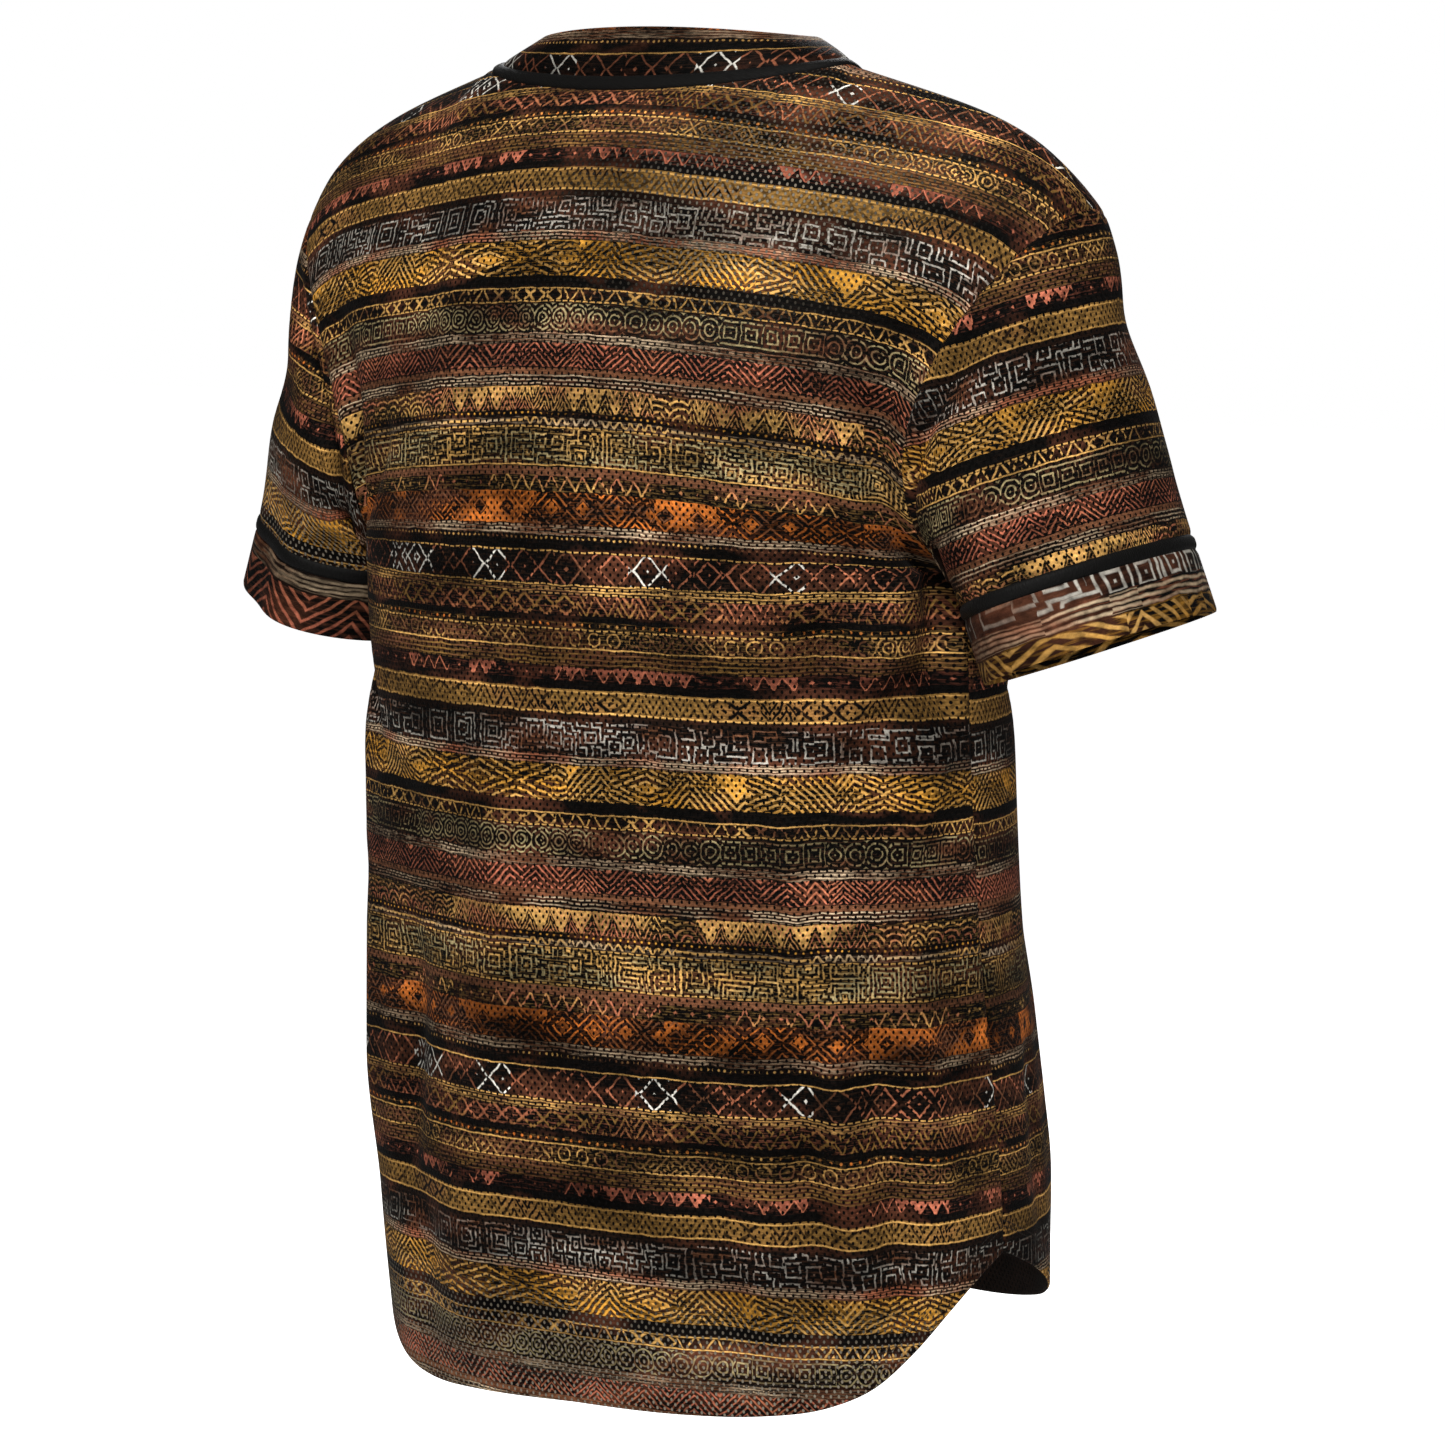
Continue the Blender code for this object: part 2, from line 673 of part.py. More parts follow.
def free_ring(around, up_from_hem, side):
    """The sleeve's end ring as if no torso were near: around 0 underarm, 0.5 back, 1 outside, 1.5 front."""
    along, outward, backward = cuff_axes()
    angle = math.pi * around[..., None]
    ring = -np.cos(angle) * CUFF_HALF_WIDTH * outward + np.sin(angle) * CUFF_HALF_DEPTH * backward
    stretch = np.ones_like(around)
    for wave in CUFF_WAVES:
        if wave.side == side:
            near = (turn_between(around, wave.around) / wave.width) ** 2
            stretch = stretch + wave.depth / CUFF_HALF_WIDTH * np.exp(-near)
    return CUFF_CENTRE + ring * stretch[..., None] - along * up_from_hem


def cuff_ring(around, up_from_hem, side):
    """The sleeve's end at a distance above its hem."""
    return clear_of_torso(free_ring(around, up_from_hem, side))


def armhole_loop(around):
    """The whole armhole seam: around 0 underarm, 0.5 back, 1 shoulder, 1.5 front."""
    behind = armhole(+1, np.clip(around, 0.0, 1.0))
    before = armhole(-1, np.clip(2.0 - around, 0.0, 1.0))
    return np.where((around <= 1.0)[..., None], behind, before)


def sleeve_point(around, along, side):
    """A point of the sleeve: along 0 at the armhole, 1 at the piping."""
    start = armhole_loop(around)
    end = free_ring(around, SLEEVE_BAND_WIDTH + PIPING_WIDTH, side)
    down, _, _ = cuff_axes()
    angle = math.pi * around
    leave = unit(np.stack([0.34 + 0.0 * angle, 0.32 * np.sin(angle), -0.94 + 0.0 * angle], -1))
    reach = np.linalg.norm(end - start, axis=-1, keepdims=True)
    return clear_of_torso(path(along, start, leave * reach, end, down * reach * 0.9))


def around_columns():
    """Places round the sleeve that meet the ends of the chest rows at the armhole."""
    behind = armhole_share(climb_rows()[ROWS_BODY:] - 1.0)
    return np.concatenate([behind, 2.0 - behind[-2:0:-1]])


def sleeve_places():
    return np.meshgrid(around_columns(), np.linspace(0.0, 1.0, SLEEVE_ROWS + 1))


def sleeve_rows(side):
    return sleeve_point(*sleeve_places(), side)


def sleeve_grid(side):
    """The sleeve's points with its folds, and their normals."""
    around, along = sleeve_places()
    grid = sleeve_rows(side)
    normals = outward_normals(grid)
    normals[0] = shared_normals()[2]
    for fold in SLEEVE_FOLDS:
        if fold.side == -side:
            continue
        near = (turn_between(around, fold.around) / fold.width) ** 2
        near = near + ((along - fold.along) / fold.length) ** 2
        fade = np.sin(math.pi * along) ** 2
        grid = grid + normals * (fold.depth * np.exp(-near) * fade)[..., None]
    grid = pull_edges(grid, ("top", "bottom"))
    grid[0, :, 0] += UNDERARM_LIFT * smooth(1.0 - turn_between(around[0], 0.0) / 0.4)
    return grid, normals


def outward_normals(grid):
    """Normals of a closed tube of rows, turned away from each row's middle."""
    normals = grid_normals(grid, closed=True)
    middle = grid.mean(axis=1, keepdims=True)
    if ((grid - middle) * normals).sum() < 0:
        normals = -normals
    return normals


def piping_profile(low, high, low_normals, high_normals):
    """A strip of piping between two lines, its outer face domed: outer and inner grids."""
    shares = np.linspace(0.0, 1.0, PIPING_ROWS + 1)[:, None, None]
    flat = pull_edges(low + (high - low) * shares, ("top", "bottom"))
    normals = unit(low_normals + (high_normals - low_normals) * shares)
    return flat + normals * PIPING_BULGE * np.sin(math.pi * shares), flat - normals * PIPING_WALL


def make_sleeve(name, side, knit, band, piping):
    """One sleeve with its piping and band: side +1 the wearer's left, -1 the right."""
    flip = np.array((float(side), 1.0, 1.0))
    around = around_columns()
    sleeve, sleeve_normals = sleeve_grid(side)
    heights = np.linspace(SLEEVE_BAND_WIDTH, 0.0, BAND_ROWS + 1)
    band_grid = np.stack([cuff_ring(around, height, side) for height in heights])
    band_normals = outward_normals(band_grid)
    low = cuff_ring(around, SLEEVE_BAND_WIDTH + PIPING_WIDTH, side)
    sleeve_normals[-1] = unit(sleeve_normals[-1] + band_normals[0])
    trim, trim_back = piping_profile(low, band_grid[0], sleeve_normals[-1], band_normals[0])
    band_grid = pull_edges(band_grid, ("bottom",))
    cloth_wall(f"sleeve_{name}", sleeve * flip, sleeve_normals * flip, KNIT_WALL, knit, closed=True)
    wall_object(f"sleeve_piping_{name}", trim * flip, trim_back * flip, piping, closed=True)
    cloth_wall(f"sleeve_band_{name}", band_grid * flip, band_normals * flip, BAND_WALL, band, closed=True)


def neck_turns():
    """Turns from the under end at the centre front, round the back, to the over end."""
    quarter = np.linspace(0.0, math.pi / 2, COLUMNS_NECK + 1)
    extra = math.asin(OVERLAP_HALF / NECK_HALF)
    half = np.concatenate([quarter, quarter[1:] + math.pi / 2, [math.pi + extra]])
    return np.concatenate([-half[:0:-1], half])


def neck_strip(share):
    """A line round the neck at a share of the way from the seam to the band's top edge."""
    turn = neck_turns()
    line = neck_seam(turn) * (1 - share) + band_top(turn) * share
    own_side = np.where(np.abs(turn) > math.pi / 2, np.abs(line[:, 0]), 1.0)
    step = np.where(turn > 0, closing_step(own_side, True), closing_step(own_side, False))
    return line + AHEAD * step[:, None]


def neck_normals():
    """Normals of the strips round the neck, facing away from it."""
    low, high = neck_strip(0.0), neck_strip(1.0)
    normal = np.cross(high - low, np.gradient(low, axis=0))
    normal = unit(normal)
    return normal if (normal * (low - low.mean(axis=0))).sum() > 0 else -normal


def make_neck(band, piping):
    height = np.linalg.norm(band_top(np.array(0.0)) - neck_seam(np.array(0.0)))
    piping_share = PIPING_WIDTH / height
    shares = np.linspace(piping_share, 1.0, BAND_ROWS + 2)
    normal = neck_normals()
    normals = np.broadcast_to(normal, (len(shares), *normal.shape))
    grid = pull_edges(np.stack([neck_strip(share) for share in shares]), ("bottom",))
    cloth_wall("neckband", grid, normals, BAND_WALL, band)
    seam_line = shared_normals()[3]
    trim, trim_back = piping_profile(neck_strip(0.0), neck_strip(piping_share), seam_line, normal)
    wall_object("neck_piping", trim, trim_back, piping)


def main():
    clear_scene()
    knit = material("mesh_knit_print", (0.16, 0.09, 0.04), 0.75)
    plain = material("plain_woven_print", (0.19, 0.11, 0.04), 0.70)
    piping = material("black_piping", (0.008, 0.008, 0.008), 0.60)
    button = material("button_resin", (0.012, 0.011, 0.010), 0.35)
    make_back(knit)
    make_fronts(knit)
    make_placket(knit)
    make_buttons(button)
    make_sleeve("left", +1, knit, plain, piping)
    make_sleeve("right", -1, knit, plain, piping)
    make_neck(plain, piping)


main()
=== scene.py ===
"""Baseball jersey, filled out with no wearer: the shown model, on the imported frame.

Metres, +Z up. The front faces -Y and the wearer's right is at -X. Each cloth piece is a thin shell on the
form of its solid, from the same tables, with its own creases.
"""

import functools
import math
from collections import namedtuple

import bpy
import numpy as np
from mathutils import Matrix, Vector


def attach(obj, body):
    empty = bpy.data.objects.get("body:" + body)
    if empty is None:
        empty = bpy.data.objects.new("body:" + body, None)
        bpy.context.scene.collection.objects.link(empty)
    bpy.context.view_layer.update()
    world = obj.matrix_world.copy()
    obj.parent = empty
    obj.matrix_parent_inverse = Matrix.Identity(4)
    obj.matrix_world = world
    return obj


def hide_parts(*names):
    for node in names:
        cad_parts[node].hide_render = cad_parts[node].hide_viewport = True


bl_info = {
    "name": "Baseball jersey",
    "version": (1, 0, 0),
    "blender": (4, 5, 0),
    "location": "3D View > Sidebar > Jersey",
    "description": "Makes the jersey's cloth pieces, trims and buttons on its packed frame",
    "category": "Object",
}

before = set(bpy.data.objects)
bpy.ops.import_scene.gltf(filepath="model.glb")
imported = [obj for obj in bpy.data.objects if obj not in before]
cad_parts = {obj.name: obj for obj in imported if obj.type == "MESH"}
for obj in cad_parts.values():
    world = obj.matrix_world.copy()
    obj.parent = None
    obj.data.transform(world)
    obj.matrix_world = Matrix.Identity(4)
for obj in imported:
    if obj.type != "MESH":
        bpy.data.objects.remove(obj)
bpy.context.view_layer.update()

MM = 0.001
MIRROR = np.array((-1.0, 1.0, 1.0))
AHEAD = np.array((0.0, -1.0, 0.0))

# Cloth and seams
LAY_GAP = 0.35 * MM  # between a piece and what is laid on it

# Torso: level sections from below the tail up to the chest
Section = namedtuple("Section", "z half_width back_depth front_depth seam_y")
SECTIONS = (
    Section(-0.760, 0.1960, 0.1260, 0.1510, -0.025),
    Section(-0.620, 0.2020, 0.1250, 0.1590, -0.013),
    Section(-0.450, 0.1950, 0.1140, 0.1570, 0.003),
    Section(-0.305, 0.1945, 0.1090, 0.1580, 0.014),
    Section(-0.230, 0.1945, 0.1085, 0.1560, 0.015),
)
SECTION_POWER = 2.2  # 2 would be a true ellipse
UNDERARM_Z = -0.268

# Hem heights: a shirt tail, highest at the side seams; across is 0 at the centre and 1 at the side seam
Hem = namedtuple("Hem", "across back_right back_left front")
HEMS = (
    Hem(0.00, -0.7280, -0.7280, -0.7060),
    Hem(0.20, -0.7265, -0.7320, -0.7050),
    Hem(0.35, -0.7235, -0.7340, -0.7020),
    Hem(0.50, -0.7165, -0.7300, -0.6950),
    Hem(0.60, -0.7060, -0.7215, -0.6880),
    Hem(0.70, -0.6870, -0.7055, -0.6775),
    Hem(0.80, -0.6665, -0.6850, -0.6655),
    Hem(0.90, -0.6505, -0.6620, -0.6530),
    Hem(1.00, -0.6400, -0.6400, -0.6400),
)

# Armhole, from the side seam up to the end of the shoulder seam: +1 its back half, -1 its front half
SHOULDER_END = np.array((0.255, -0.008, -0.076))
ARMHOLE_REACH = {+1: 0.067, -1: 0.070}
ARMHOLE_INSET = {+1: 0.0285, -1: 0.0360}
ARMHOLE_INSET_LOW = 0.25  # how much more of the inset lies in the lower half
ARMHOLE_ROWS = 0.85  # how the chest rows spread up the armhole

# Middle of the back (+1) and front (-1): its two bends, as y from the chest's depth and z
CENTRE_BENDS = {+1: ((0.004, -0.165), (-0.014, -0.055)), -1: ((-0.006, -0.200), (0.010, -0.135))}

# Neck seam and the top of the band that stands on it. point is the high point above the shoulder
NeckLine = namedtuple("NeckLine", "half back_y front_y point_y back_z front_z point_z")
NECK_SEAM = NeckLine(0.117, 0.063, -0.098, 0.013, -0.0135, -0.092, 0.0)
BAND_TOP = NeckLine(0.087, 0.050, -0.083, 0.001, 0.0205, -0.061, 0.0150)
NECK_SCOOP = 1.6  # how late the neck line drops from its high points to the front
PIPING_WIDTH = 8.0 * MM
PIPING_WALL = 2.0 * MM
BAND_SWELL = 0.6 * MM  # how far the neckband's middle stands out

# Shoulder seam: drop = linear part + steep part, from the neck to the sleeve
SHOULDER_SLOPE = 0.55
SHOULDER_STEEP_POWER = 5.5

# Sleeve: its end ring, for the wearer's left
CUFF_CENTRE = np.array((0.2520, -0.021, -0.3088))
CUFF_HALF_DEPTH = 0.083
CUFF_HALF_WIDTH = 0.0570
CUFF_OUTWARD = math.radians(20.0)
CUFF_FORWARD = math.radians(3.0)
SLEEVE_BAND_WIDTH = 35.0 * MM
SLEEVE_CLEAR = 3.0 * MM  # between the sleeve's inner side and the torso
SLEEVE_CLEAR_SOFT = 4.0 * MM
SLEEVE_CLEAR_FADE = 6.0 * MM  # below the underarm
UNDERARM_LIFT = 0.80 * MM  # the sleeve's edge stands this far off the torso where the two fold together

# Front closing: the wearer's left front lies over the right
OVERLAP_HALF = 16.0 * MM
CLOSING_STEP = 1.7 * MM  # each front steps this far out or in near the centre
CLOSING_FADE = 45.0 * MM
PLACKET_WALL = 1.4 * MM
PLACKET_MARGIN = 0.3 * MM  # from the front's folded edge to the placket's
PLACKET_STITCH = 3.0 * MM  # from the placket's edge to its stitching
SEWN_GAP = 0.05 * MM  # the placket is sewn down, so hardly any gap shows from the side
BEYOND_CENTRE = np.array((1.0, 0.96, 0.9, 0.7, 0.45, 0.2))  # a front's columns past the centre line
PLACKET_COLUMNS = np.array((-1.0, -0.965, -0.9, -0.6, -0.3, 0.0, 0.3, 0.6, 0.9, 0.965, 1.0))
BUTTON_COUNT = 6
BUTTON_RADIUS = 5.75 * MM
BUTTON_THICK = 2.6 * MM
BUTTON_FIRST = 0.060
BUTTON_LAST = 0.850

# Grids, finer than the solids' and closest beside the seams
EDGE_STEPS = np.array((0.6, 1.5, 2.8, 4.6)) * MM
BODY_HEIGHT = 0.45  # these four turn the edge steps into shares of a panel
CHEST_HEIGHT = 0.27
HALF_GIRTH = 0.25  # also from the centre line to the side seam
SLEEVE_LENGTH = 0.20
CHEST_CLOSENESS = 1.15  # how much closer the chest rows lie at the underarm
COLUMNS_NECK = 30
SHOULDER_STEPS = 28
BODY_STEPS = 84
CHEST_STEPS = 58
SLEEVE_STEPS = 46
NECK_EXTRA = 4
PIPING_ROWS = 8
ROWS_BODY = BODY_STEPS + len(EDGE_STEPS)
ROWS_CHEST = CHEST_STEPS + len(EDGE_STEPS)
NECK_SHARE = 8 / 17  # of the way to the side seam
TOP_MIX_POWER = 2.2  # how late the chest rows turn from plain arcs into the neck and shoulder seams
CORNER_SPREAD = 0.42  # how widely the corner between neck and shoulder is rounded off on the rows below it
CORNER_STEPS = np.linspace(-1.0, 1.0, 9)
HEM_TURN = 16.0 * MM  # from the folded edge to the hem's stitching
HEM_THICKER = 0.8
HEM_STEP = 1.5 * MM
STITCH_ROW = 1.6 * MM  # from the middle of the stitching to each of its two rows

# Painted light: daylight painted into the eyelets, 0 to 1, where the cloth is taken to have light behind it
BACK_LIGHT = 0.7
FRONT_LIGHT = 0.6
SLEEVE_LIGHT = {+1: 0.5, -1: 0.0}
SHOULDER_LIGHT = 0.55
SHOULDER_LIGHT_ACROSS = -0.42
SHOULDER_LIGHT_WIDE = 0.26
SHOULDER_LIGHT_Z = -0.070
SHOULDER_LIGHT_HIGH = 0.045
TAIL_LIGHT_Z = -0.655
TAIL_LIGHT_FADE = 0.045

# Where each cut piece lies on the print, in metres along its bands and up
FRONT_PRINT_SHIFT = (0.031, 0.004)  # the fronts' print sits a little higher at the side seams
SLEEVE_PRINT_SHIFT = {+1: (0.046, 0.118), -1: (-0.083, 0.060)}
BAND_PRINT_SHIFT = {+1: (0.010, 0.245), -1: (-0.020, 0.369)}
PLACKET_PRINT_SHIFT = (0.090, 0.013)  # it is cut on its own, so its print doesn't meet the front's
NECK_PRINT_SHIFT = 0.0111
NECK_PAINTED_SHADE = 0.5  # painted shade: the neckband's print is drawn at half its brightness

# Largest soft folds of the torso: side +1 back, -1 front; across is signed, + at the wearer's left
Fold = namedtuple("Fold", "side across z depth width length")
FOLDS = (
    Fold(+1, +0.16, -0.640, 0.0040, 0.085, 0.150),
    Fold(+1, -0.20, -0.560, -0.0035, 0.080, 0.190),
    Fold(+1, -0.50, -0.640, 0.0040, 0.085, 0.120),
    Fold(+1, +0.72, -0.310, -0.0032, 0.110, 0.110),
    Fold(+1, -0.62, -0.400, -0.0040, 0.070, 0.110),
    Fold(-1, +0.40, -0.600, 0.0050, 0.090, 0.170),
    Fold(-1, -0.38, -0.560, -0.0045, 0.085, 0.160),
    Fold(-1, +0.62, -0.430, -0.0040, 0.075, 0.120),
    Fold(-1, -0.70, -0.680, 0.0035, 0.080, 0.140),
)

# Waves of the sleeve ends: side +1 the wearer's left, around as in the sleeve folds
CuffWave = namedtuple("CuffWave", "side around depth width")
CUFF_WAVES = (
    CuffWave(+1, 1.24, -0.0075, 0.17),
    CuffWave(+1, 0.61, -0.0060, 0.12),
    CuffWave(-1, 1.18, 0.0028, 0.22),
    CuffWave(-1, 1.62, -0.0050, 0.20),
    CuffWave(-1, 0.30, -0.0030, 0.14),
)

FOLD_FADE = 0.12  # folds die away over this share of the width before a side seam
CREASE_FADE = 0.07  # and creases over this one
TOP_FADE = 0.10  # both ends of the sleeves and the top of the torso are left plain over this share
CREASE_TAPER = 0.35  # the share of a crease over which each of its ends tapers
SEAM_DIP_WIDTH = 1.7 * MM
EDGE_ROUNDING = (0.40, 0.13)  # how far the two skins draw together at a folded edge and one row in
FOLD_ANGLE = math.radians(60.0)  # a sharper edge than this is shaded as a fold

# Sleeve folds: around is 0 at the underarm, 0.5 at the back, 1 at the top, 1.5 at the front; side 0 is both
SleeveFold = namedtuple("SleeveFold", "side around along depth width length")
SLEEVE_FOLDS = (
    SleeveFold(0, 0.24, 0.45, -0.0050, 0.10, 0.35),
    SleeveFold(0, 0.62, 0.75, 0.0040, 0.13, 0.40),
    SleeveFold(0, 1.72, 0.50, -0.0050, 0.11, 0.35),
    SleeveFold(+1, 0.84, 0.38, -0.0065, 0.22, 0.22),
    SleeveFold(-1, 1.20, 0.26, -0.0095, 0.22, 0.16),
)

# Creases of the torso, in mm on the cloth: u from the centre line, + at the wearer's left, and v is height
# below or above the shoulders. +1 back, -1 front. A minus depth is a trough.
Crease = namedtuple("Crease", "u v u_end v_end depth width bow")
TORSO_CREASES = {
    +1: (
        Crease(-240, -296, -128, -408, -7.0, 14, +10),
        Crease(-228, -334, -170, -440, +4.2, 13, -6),
        Crease(-205, -262, -104, -336, -6.0, 17, +8),
        Crease(-222, -98, -222, -300, -10.0, 17, -5),
        Crease(-228, -236, -222, -366, -11.0, 22, -4),
        Crease(-182, -118, -186, -300, +3.6, 13, -4),
        Crease(-196, -250, -138, -150, -4.5, 13, -12),
        Crease(+236, -296, +136, -392, -6.0, 13, -9),
        Crease(+220, -110, +218, -344, -8.0, 14, +5),
        Crease(+206, -258, +152, -180, -4.0, 12, +10),
        Crease(+204, -330, +174, -480, +3.4, 15, -8),
        Crease(-130, -230, -138, -356, -5.6, 14, -4),
        Crease(-104, -356, -114, -528, +5.8, 10, -6),
        Crease(-112, -480, -124, -662, -7.4, 11, +5),
        Crease(-133, -478, -144, -672, +5.4, 9, +4),
        Crease(-152, -484, -166, -690, -7.6, 12, -5),
        Crease(-192, -440, -200, -652, +5.0, 15, +5),
        Crease(-56, -540, -72, -728, -4.6, 15, -7),
        Crease(+22, -340, +30, -620, +5.0, 22, +6),
        Crease(+40, -560, +50, -736, +4.4, 19, +6),
        Crease(+103, -440, +114, -660, -8.0, 18, -7),
        Crease(+150, -400, +160, -640, +4.6, 16, +5),
        Crease(+82, -600, +92, -736, -4.0, 15, +6),
        Crease(-46, -150, -40, -470, -4.4, 20, +6),
        Crease(-44, -292, +66, -336, -2.8, 18, +6),
        Crease(+72, -428, +160, -372, -3.0, 16, +6),
        Crease(-50, -44, -62, -168, -3.6, 19, +6),
        Crease(-98, -96, -110, -330, +4.2, 17, -7),
        Crease(+60, -50, +84, -250, +3.8, 22, +8),
        Crease(-160, -70, -192, -140, -3.2, 15, +6),
    ),
    -1: (
        Crease(+236, -296, +122, -398, -5.4, 13, -9),
        Crease(+226, -160, +226, -310, -5.4, 13, +5),
        Crease(+204, -262, +150, -178, -3.9, 12, +10),
        Crease(-236, -292, -136, -380, -4.8, 13, +8),
        Crease(-226, -160, -228, -310, -5.7, 13, -5),
        Crease(-202, -262, -146, -190, -3.3, 12, -8),
        Crease(+62, -440, +84, -704, -5.1, 15, +7),
        Crease(+104, -470, +118, -700, +4.2, 12, +5),
        Crease(+140, -500, +158, -696, -4.5, 14, -6),
        Crease(+192, -456, +200, -672, +3.0, 14, +5),
        Crease(-56, -420, -68, -700, +4.2, 15, +6),
        Crease(-98, -470, -116, -696, -5.4, 14, -7),
        Crease(-150, -440, -164, -676, +3.9, 14, +4),
        Crease(-196, -500, -206, -660, -3.6, 13, -4),
        Crease(+52, -150, +138, -214, -2.7, 15, +8),
        Crease(-46, -160, -128, -236, +2.5, 16, -7),
        Crease(+70, -300, +150, -344, +2.2, 19, -6),
        Crease(-66, -318, -160, -290, -2.4, 18, +6),
    ),
}

# Creases of the sleeves, in mm on the cloth: u round the sleeve from the underarm over the back, and v from
# the armhole down. +1 the wearer's left, -1 the right.
SLEEVE_CREASES = {
    +1: (
        Crease(40, 20, 190, 22, -9.5, 16, +7),
        Crease(20, 24, 88, 116, -4.2, 12, +6),
        Crease(52, 84, 104, 160, +3.0, 12, -6),
        Crease(132, 14, 176, 110, -2.7, 13, +7),
        Crease(196, 60, 232, 158, +2.4, 15, -5),
        Crease(318, 30, 340, 132, -3.0, 13, +6),
        Crease(424, 18, 380, 110, -3.9, 12, -6),
    ),
    -1: (
        Crease(22, 18, 176, 22, -8.5, 16, +7),
        Crease(18, 30, 96, 116, -5.1, 12, +7),
        Crease(44, 70, 118, 150, +2.8, 13, -5),
        Crease(120, 20, 178, 92, -2.1, 14, +6),
        Crease(205, 70, 262, 150, +2.1, 16, +6),
        Crease(300, 24, 352, 118, -2.8, 14, -7),
        Crease(420, 16, 368, 104, -4.2, 12, +6),
        Crease(150, 108, 196, 168, -1.8, 12, -4),
    ),
}
SLEEVE_UNIT = 225.0  # mm of cloth round the sleeve from the underarm to the shoulder
SLEEVE_DROP = 178.0  # mm from the armhole to the piping

# The print: bands of plain geometric motifs, from the bottom of one repeat to its top, in rows of 1/255 of
# the repeat. other is the motif that takes over in some stretches. period is across the band, spacing
# between lines, line their half width, all in mm. fill is how far from the middle of a motif its second
# colour reaches. border draws a thin line along both sides, accent lets stretches turn to bone white, streak
# is how strongly the yarns show in lines along it.
Band = namedtuple("Band", "rows motif other period spacing line fill ground ink second border accent streak")
BANDS = (
    Band(4, "line", "line", 30, 2.0, 0.36, -9, "umber", "brown", "gold", 0, 0, 0.8),
    Band(18, "cross", "lozenge", 19, 6.4, 0.54, -9, "coal", "rust", "brown", 1, 1, 0.2),
    Band(4, "plain", "plain", 30, 9, -1, -9, "coal", "umber", "umber", 0, 0, 0.8),
    Band(3, "ring", "ring", 3.4, 30, 0.70, -9, "coal", "gold", "brown", 0, 0, 0.2),
    Band(5, "line", "line", 30, 1.9, 0.36, -9, "umber", "brown", "sand", 0, 0, 0.6),
    Band(16, "lozenge", "cross", 20, 3.8, 0.48, 2.8, "coal", "brown", "orange", 0, 0, 0.2),
    Band(8, "zigzag", "lozenge", 10, 30, 0.52, -9, "coal", "rust", "gold", 0, 0, 0.3),
    Band(4, "plain", "plain", 30, 9, -1, -9, "brown", "umber", "umber", 0, 0, 1.0),
    Band(20, "cell", "square", 21, 3.4, 0.50, 1.4, "coal", "olive", "gold", 1, 0, 0.4),
    Band(4, "zigzag", "line", 6, 30, 0.60, -9, "umber", "gold", "sand", 0, 0, 0.4),
    Band(3, "ring", "ring", 4.2, 30, 0.60, -9, "coal", "amber", "brown", 0, 0, 0.2),
    Band(12, "arch", "zigzag", 13, 3.6, 0.52, 1.2, "coal", "rust", "gold", 0, 0, 0.3),
    Band(6, "line", "line", 30, 2.2, 0.36, -9, "coal", "sand", "brown", 0, 0, 0.6),
    Band(3, "plain", "plain", 30, 9, -1, -9, "brown", "umber", "coal", 0, 0, 1.0),
    Band(12, "hatch", "zigzag", 30, 3.4, 0.52, -9, "coal", "coral", "rust", 0, 0, 0.2),
    Band(5, "line", "line", 30, 1.9, 0.36, -9, "umber", "brown", "sand", 0, 0, 0.6),
    Band(14, "ring", "square", 11.5, 3.0, 0.44, -9, "coal", "olive", "brown", 0, 0, 0.3),
    Band(8, "zigzag", "cross", 11, 4.4, 0.48, -9, "coal", "gold", "brown", 1, 0, 0.2),
    Band(5, "plain", "plain", 30, 9, -1, -9, "coal", "umber", "umber", 0, 0, 0.6),
    Band(18, "lozenge", "hatch", 54, 4.2, 0.62, 3.0, "coal", "gold", "amber", 0, 0, 0.5),
    Band(5, "line", "line", 30, 1.8, 0.38, -9, "coal", "sand", "rust", 0, 0, 0.5),
    Band(17, "square", "cell", 22, 3.8, 0.48, -9, "coal", "stone", "brown", 0, 0, 0.3),
    Band(3, "plain", "plain", 30, 9, -1, -9, "umber", "coal", "coal", 0, 0, 1.0),
    Band(12, "zigzag", "lozenge", 17, 4.0, 0.66, -9, "bronze", "coal", "umber", 1, 0, 0.8),
    Band(4, "plain", "plain", 30, 9, -1, -9, "coal", "umber", "umber", 0, 0, 0.6),
    Band(7, "lozenge", "zigzag", 10, 30, 0.50, 0.8, "coal", "rust", "coral", 0, 0, 0.2),
    Band(8, "line", "line", 30, 2.6, 0.40, -9, "umber", "brown", "bronze", 0, 0, 0.9),
    Band(11, "cross", "ring", 12, 3.6, 0.46, -9, "coal", "brown", "gold", 1, 0, 0.3),
    Band(3, "ring", "ring", 5.4, 30, 0.80, -9, "coal", "orange", "gold", 0, 0, 0.2),
    Band(3, "plain", "plain", 30, 9, -1, -9, "coal", "umber", "umber", 0, 0, 0.6),
    Band(10, "zigzag", "cross", 13, 4.0, 0.50, -9, "coal", "bronze", "rust", 0, 0, 0.4),
)
MOTIFS = ("zigzag", "lozenge", "cross", "ring", "arch", "square", "cell", "line", "hatch")
CELL_MM = 13.0  # between the middles of the cells in the cell motif
HAND_MM = 1.8  # how far the drawn lines wander


def smooth(t):
    t = np.clip(t, 0.0, 1.0)
    return t * t * (3.0 - 2.0 * t)


def unit(vectors):
    return vectors / np.linalg.norm(vectors, axis=-1, keepdims=True)


def bezier(t, *points):
    """A cubic through the first and last of four points."""
    t = np.asarray(t)[..., None]
    a, b, c, d = (np.asarray(point, float) for point in points)
    return (1 - t) ** 3 * a + 3 * t * (1 - t) ** 2 * b + 3 * t * t * (1 - t) * c + t**3 * d


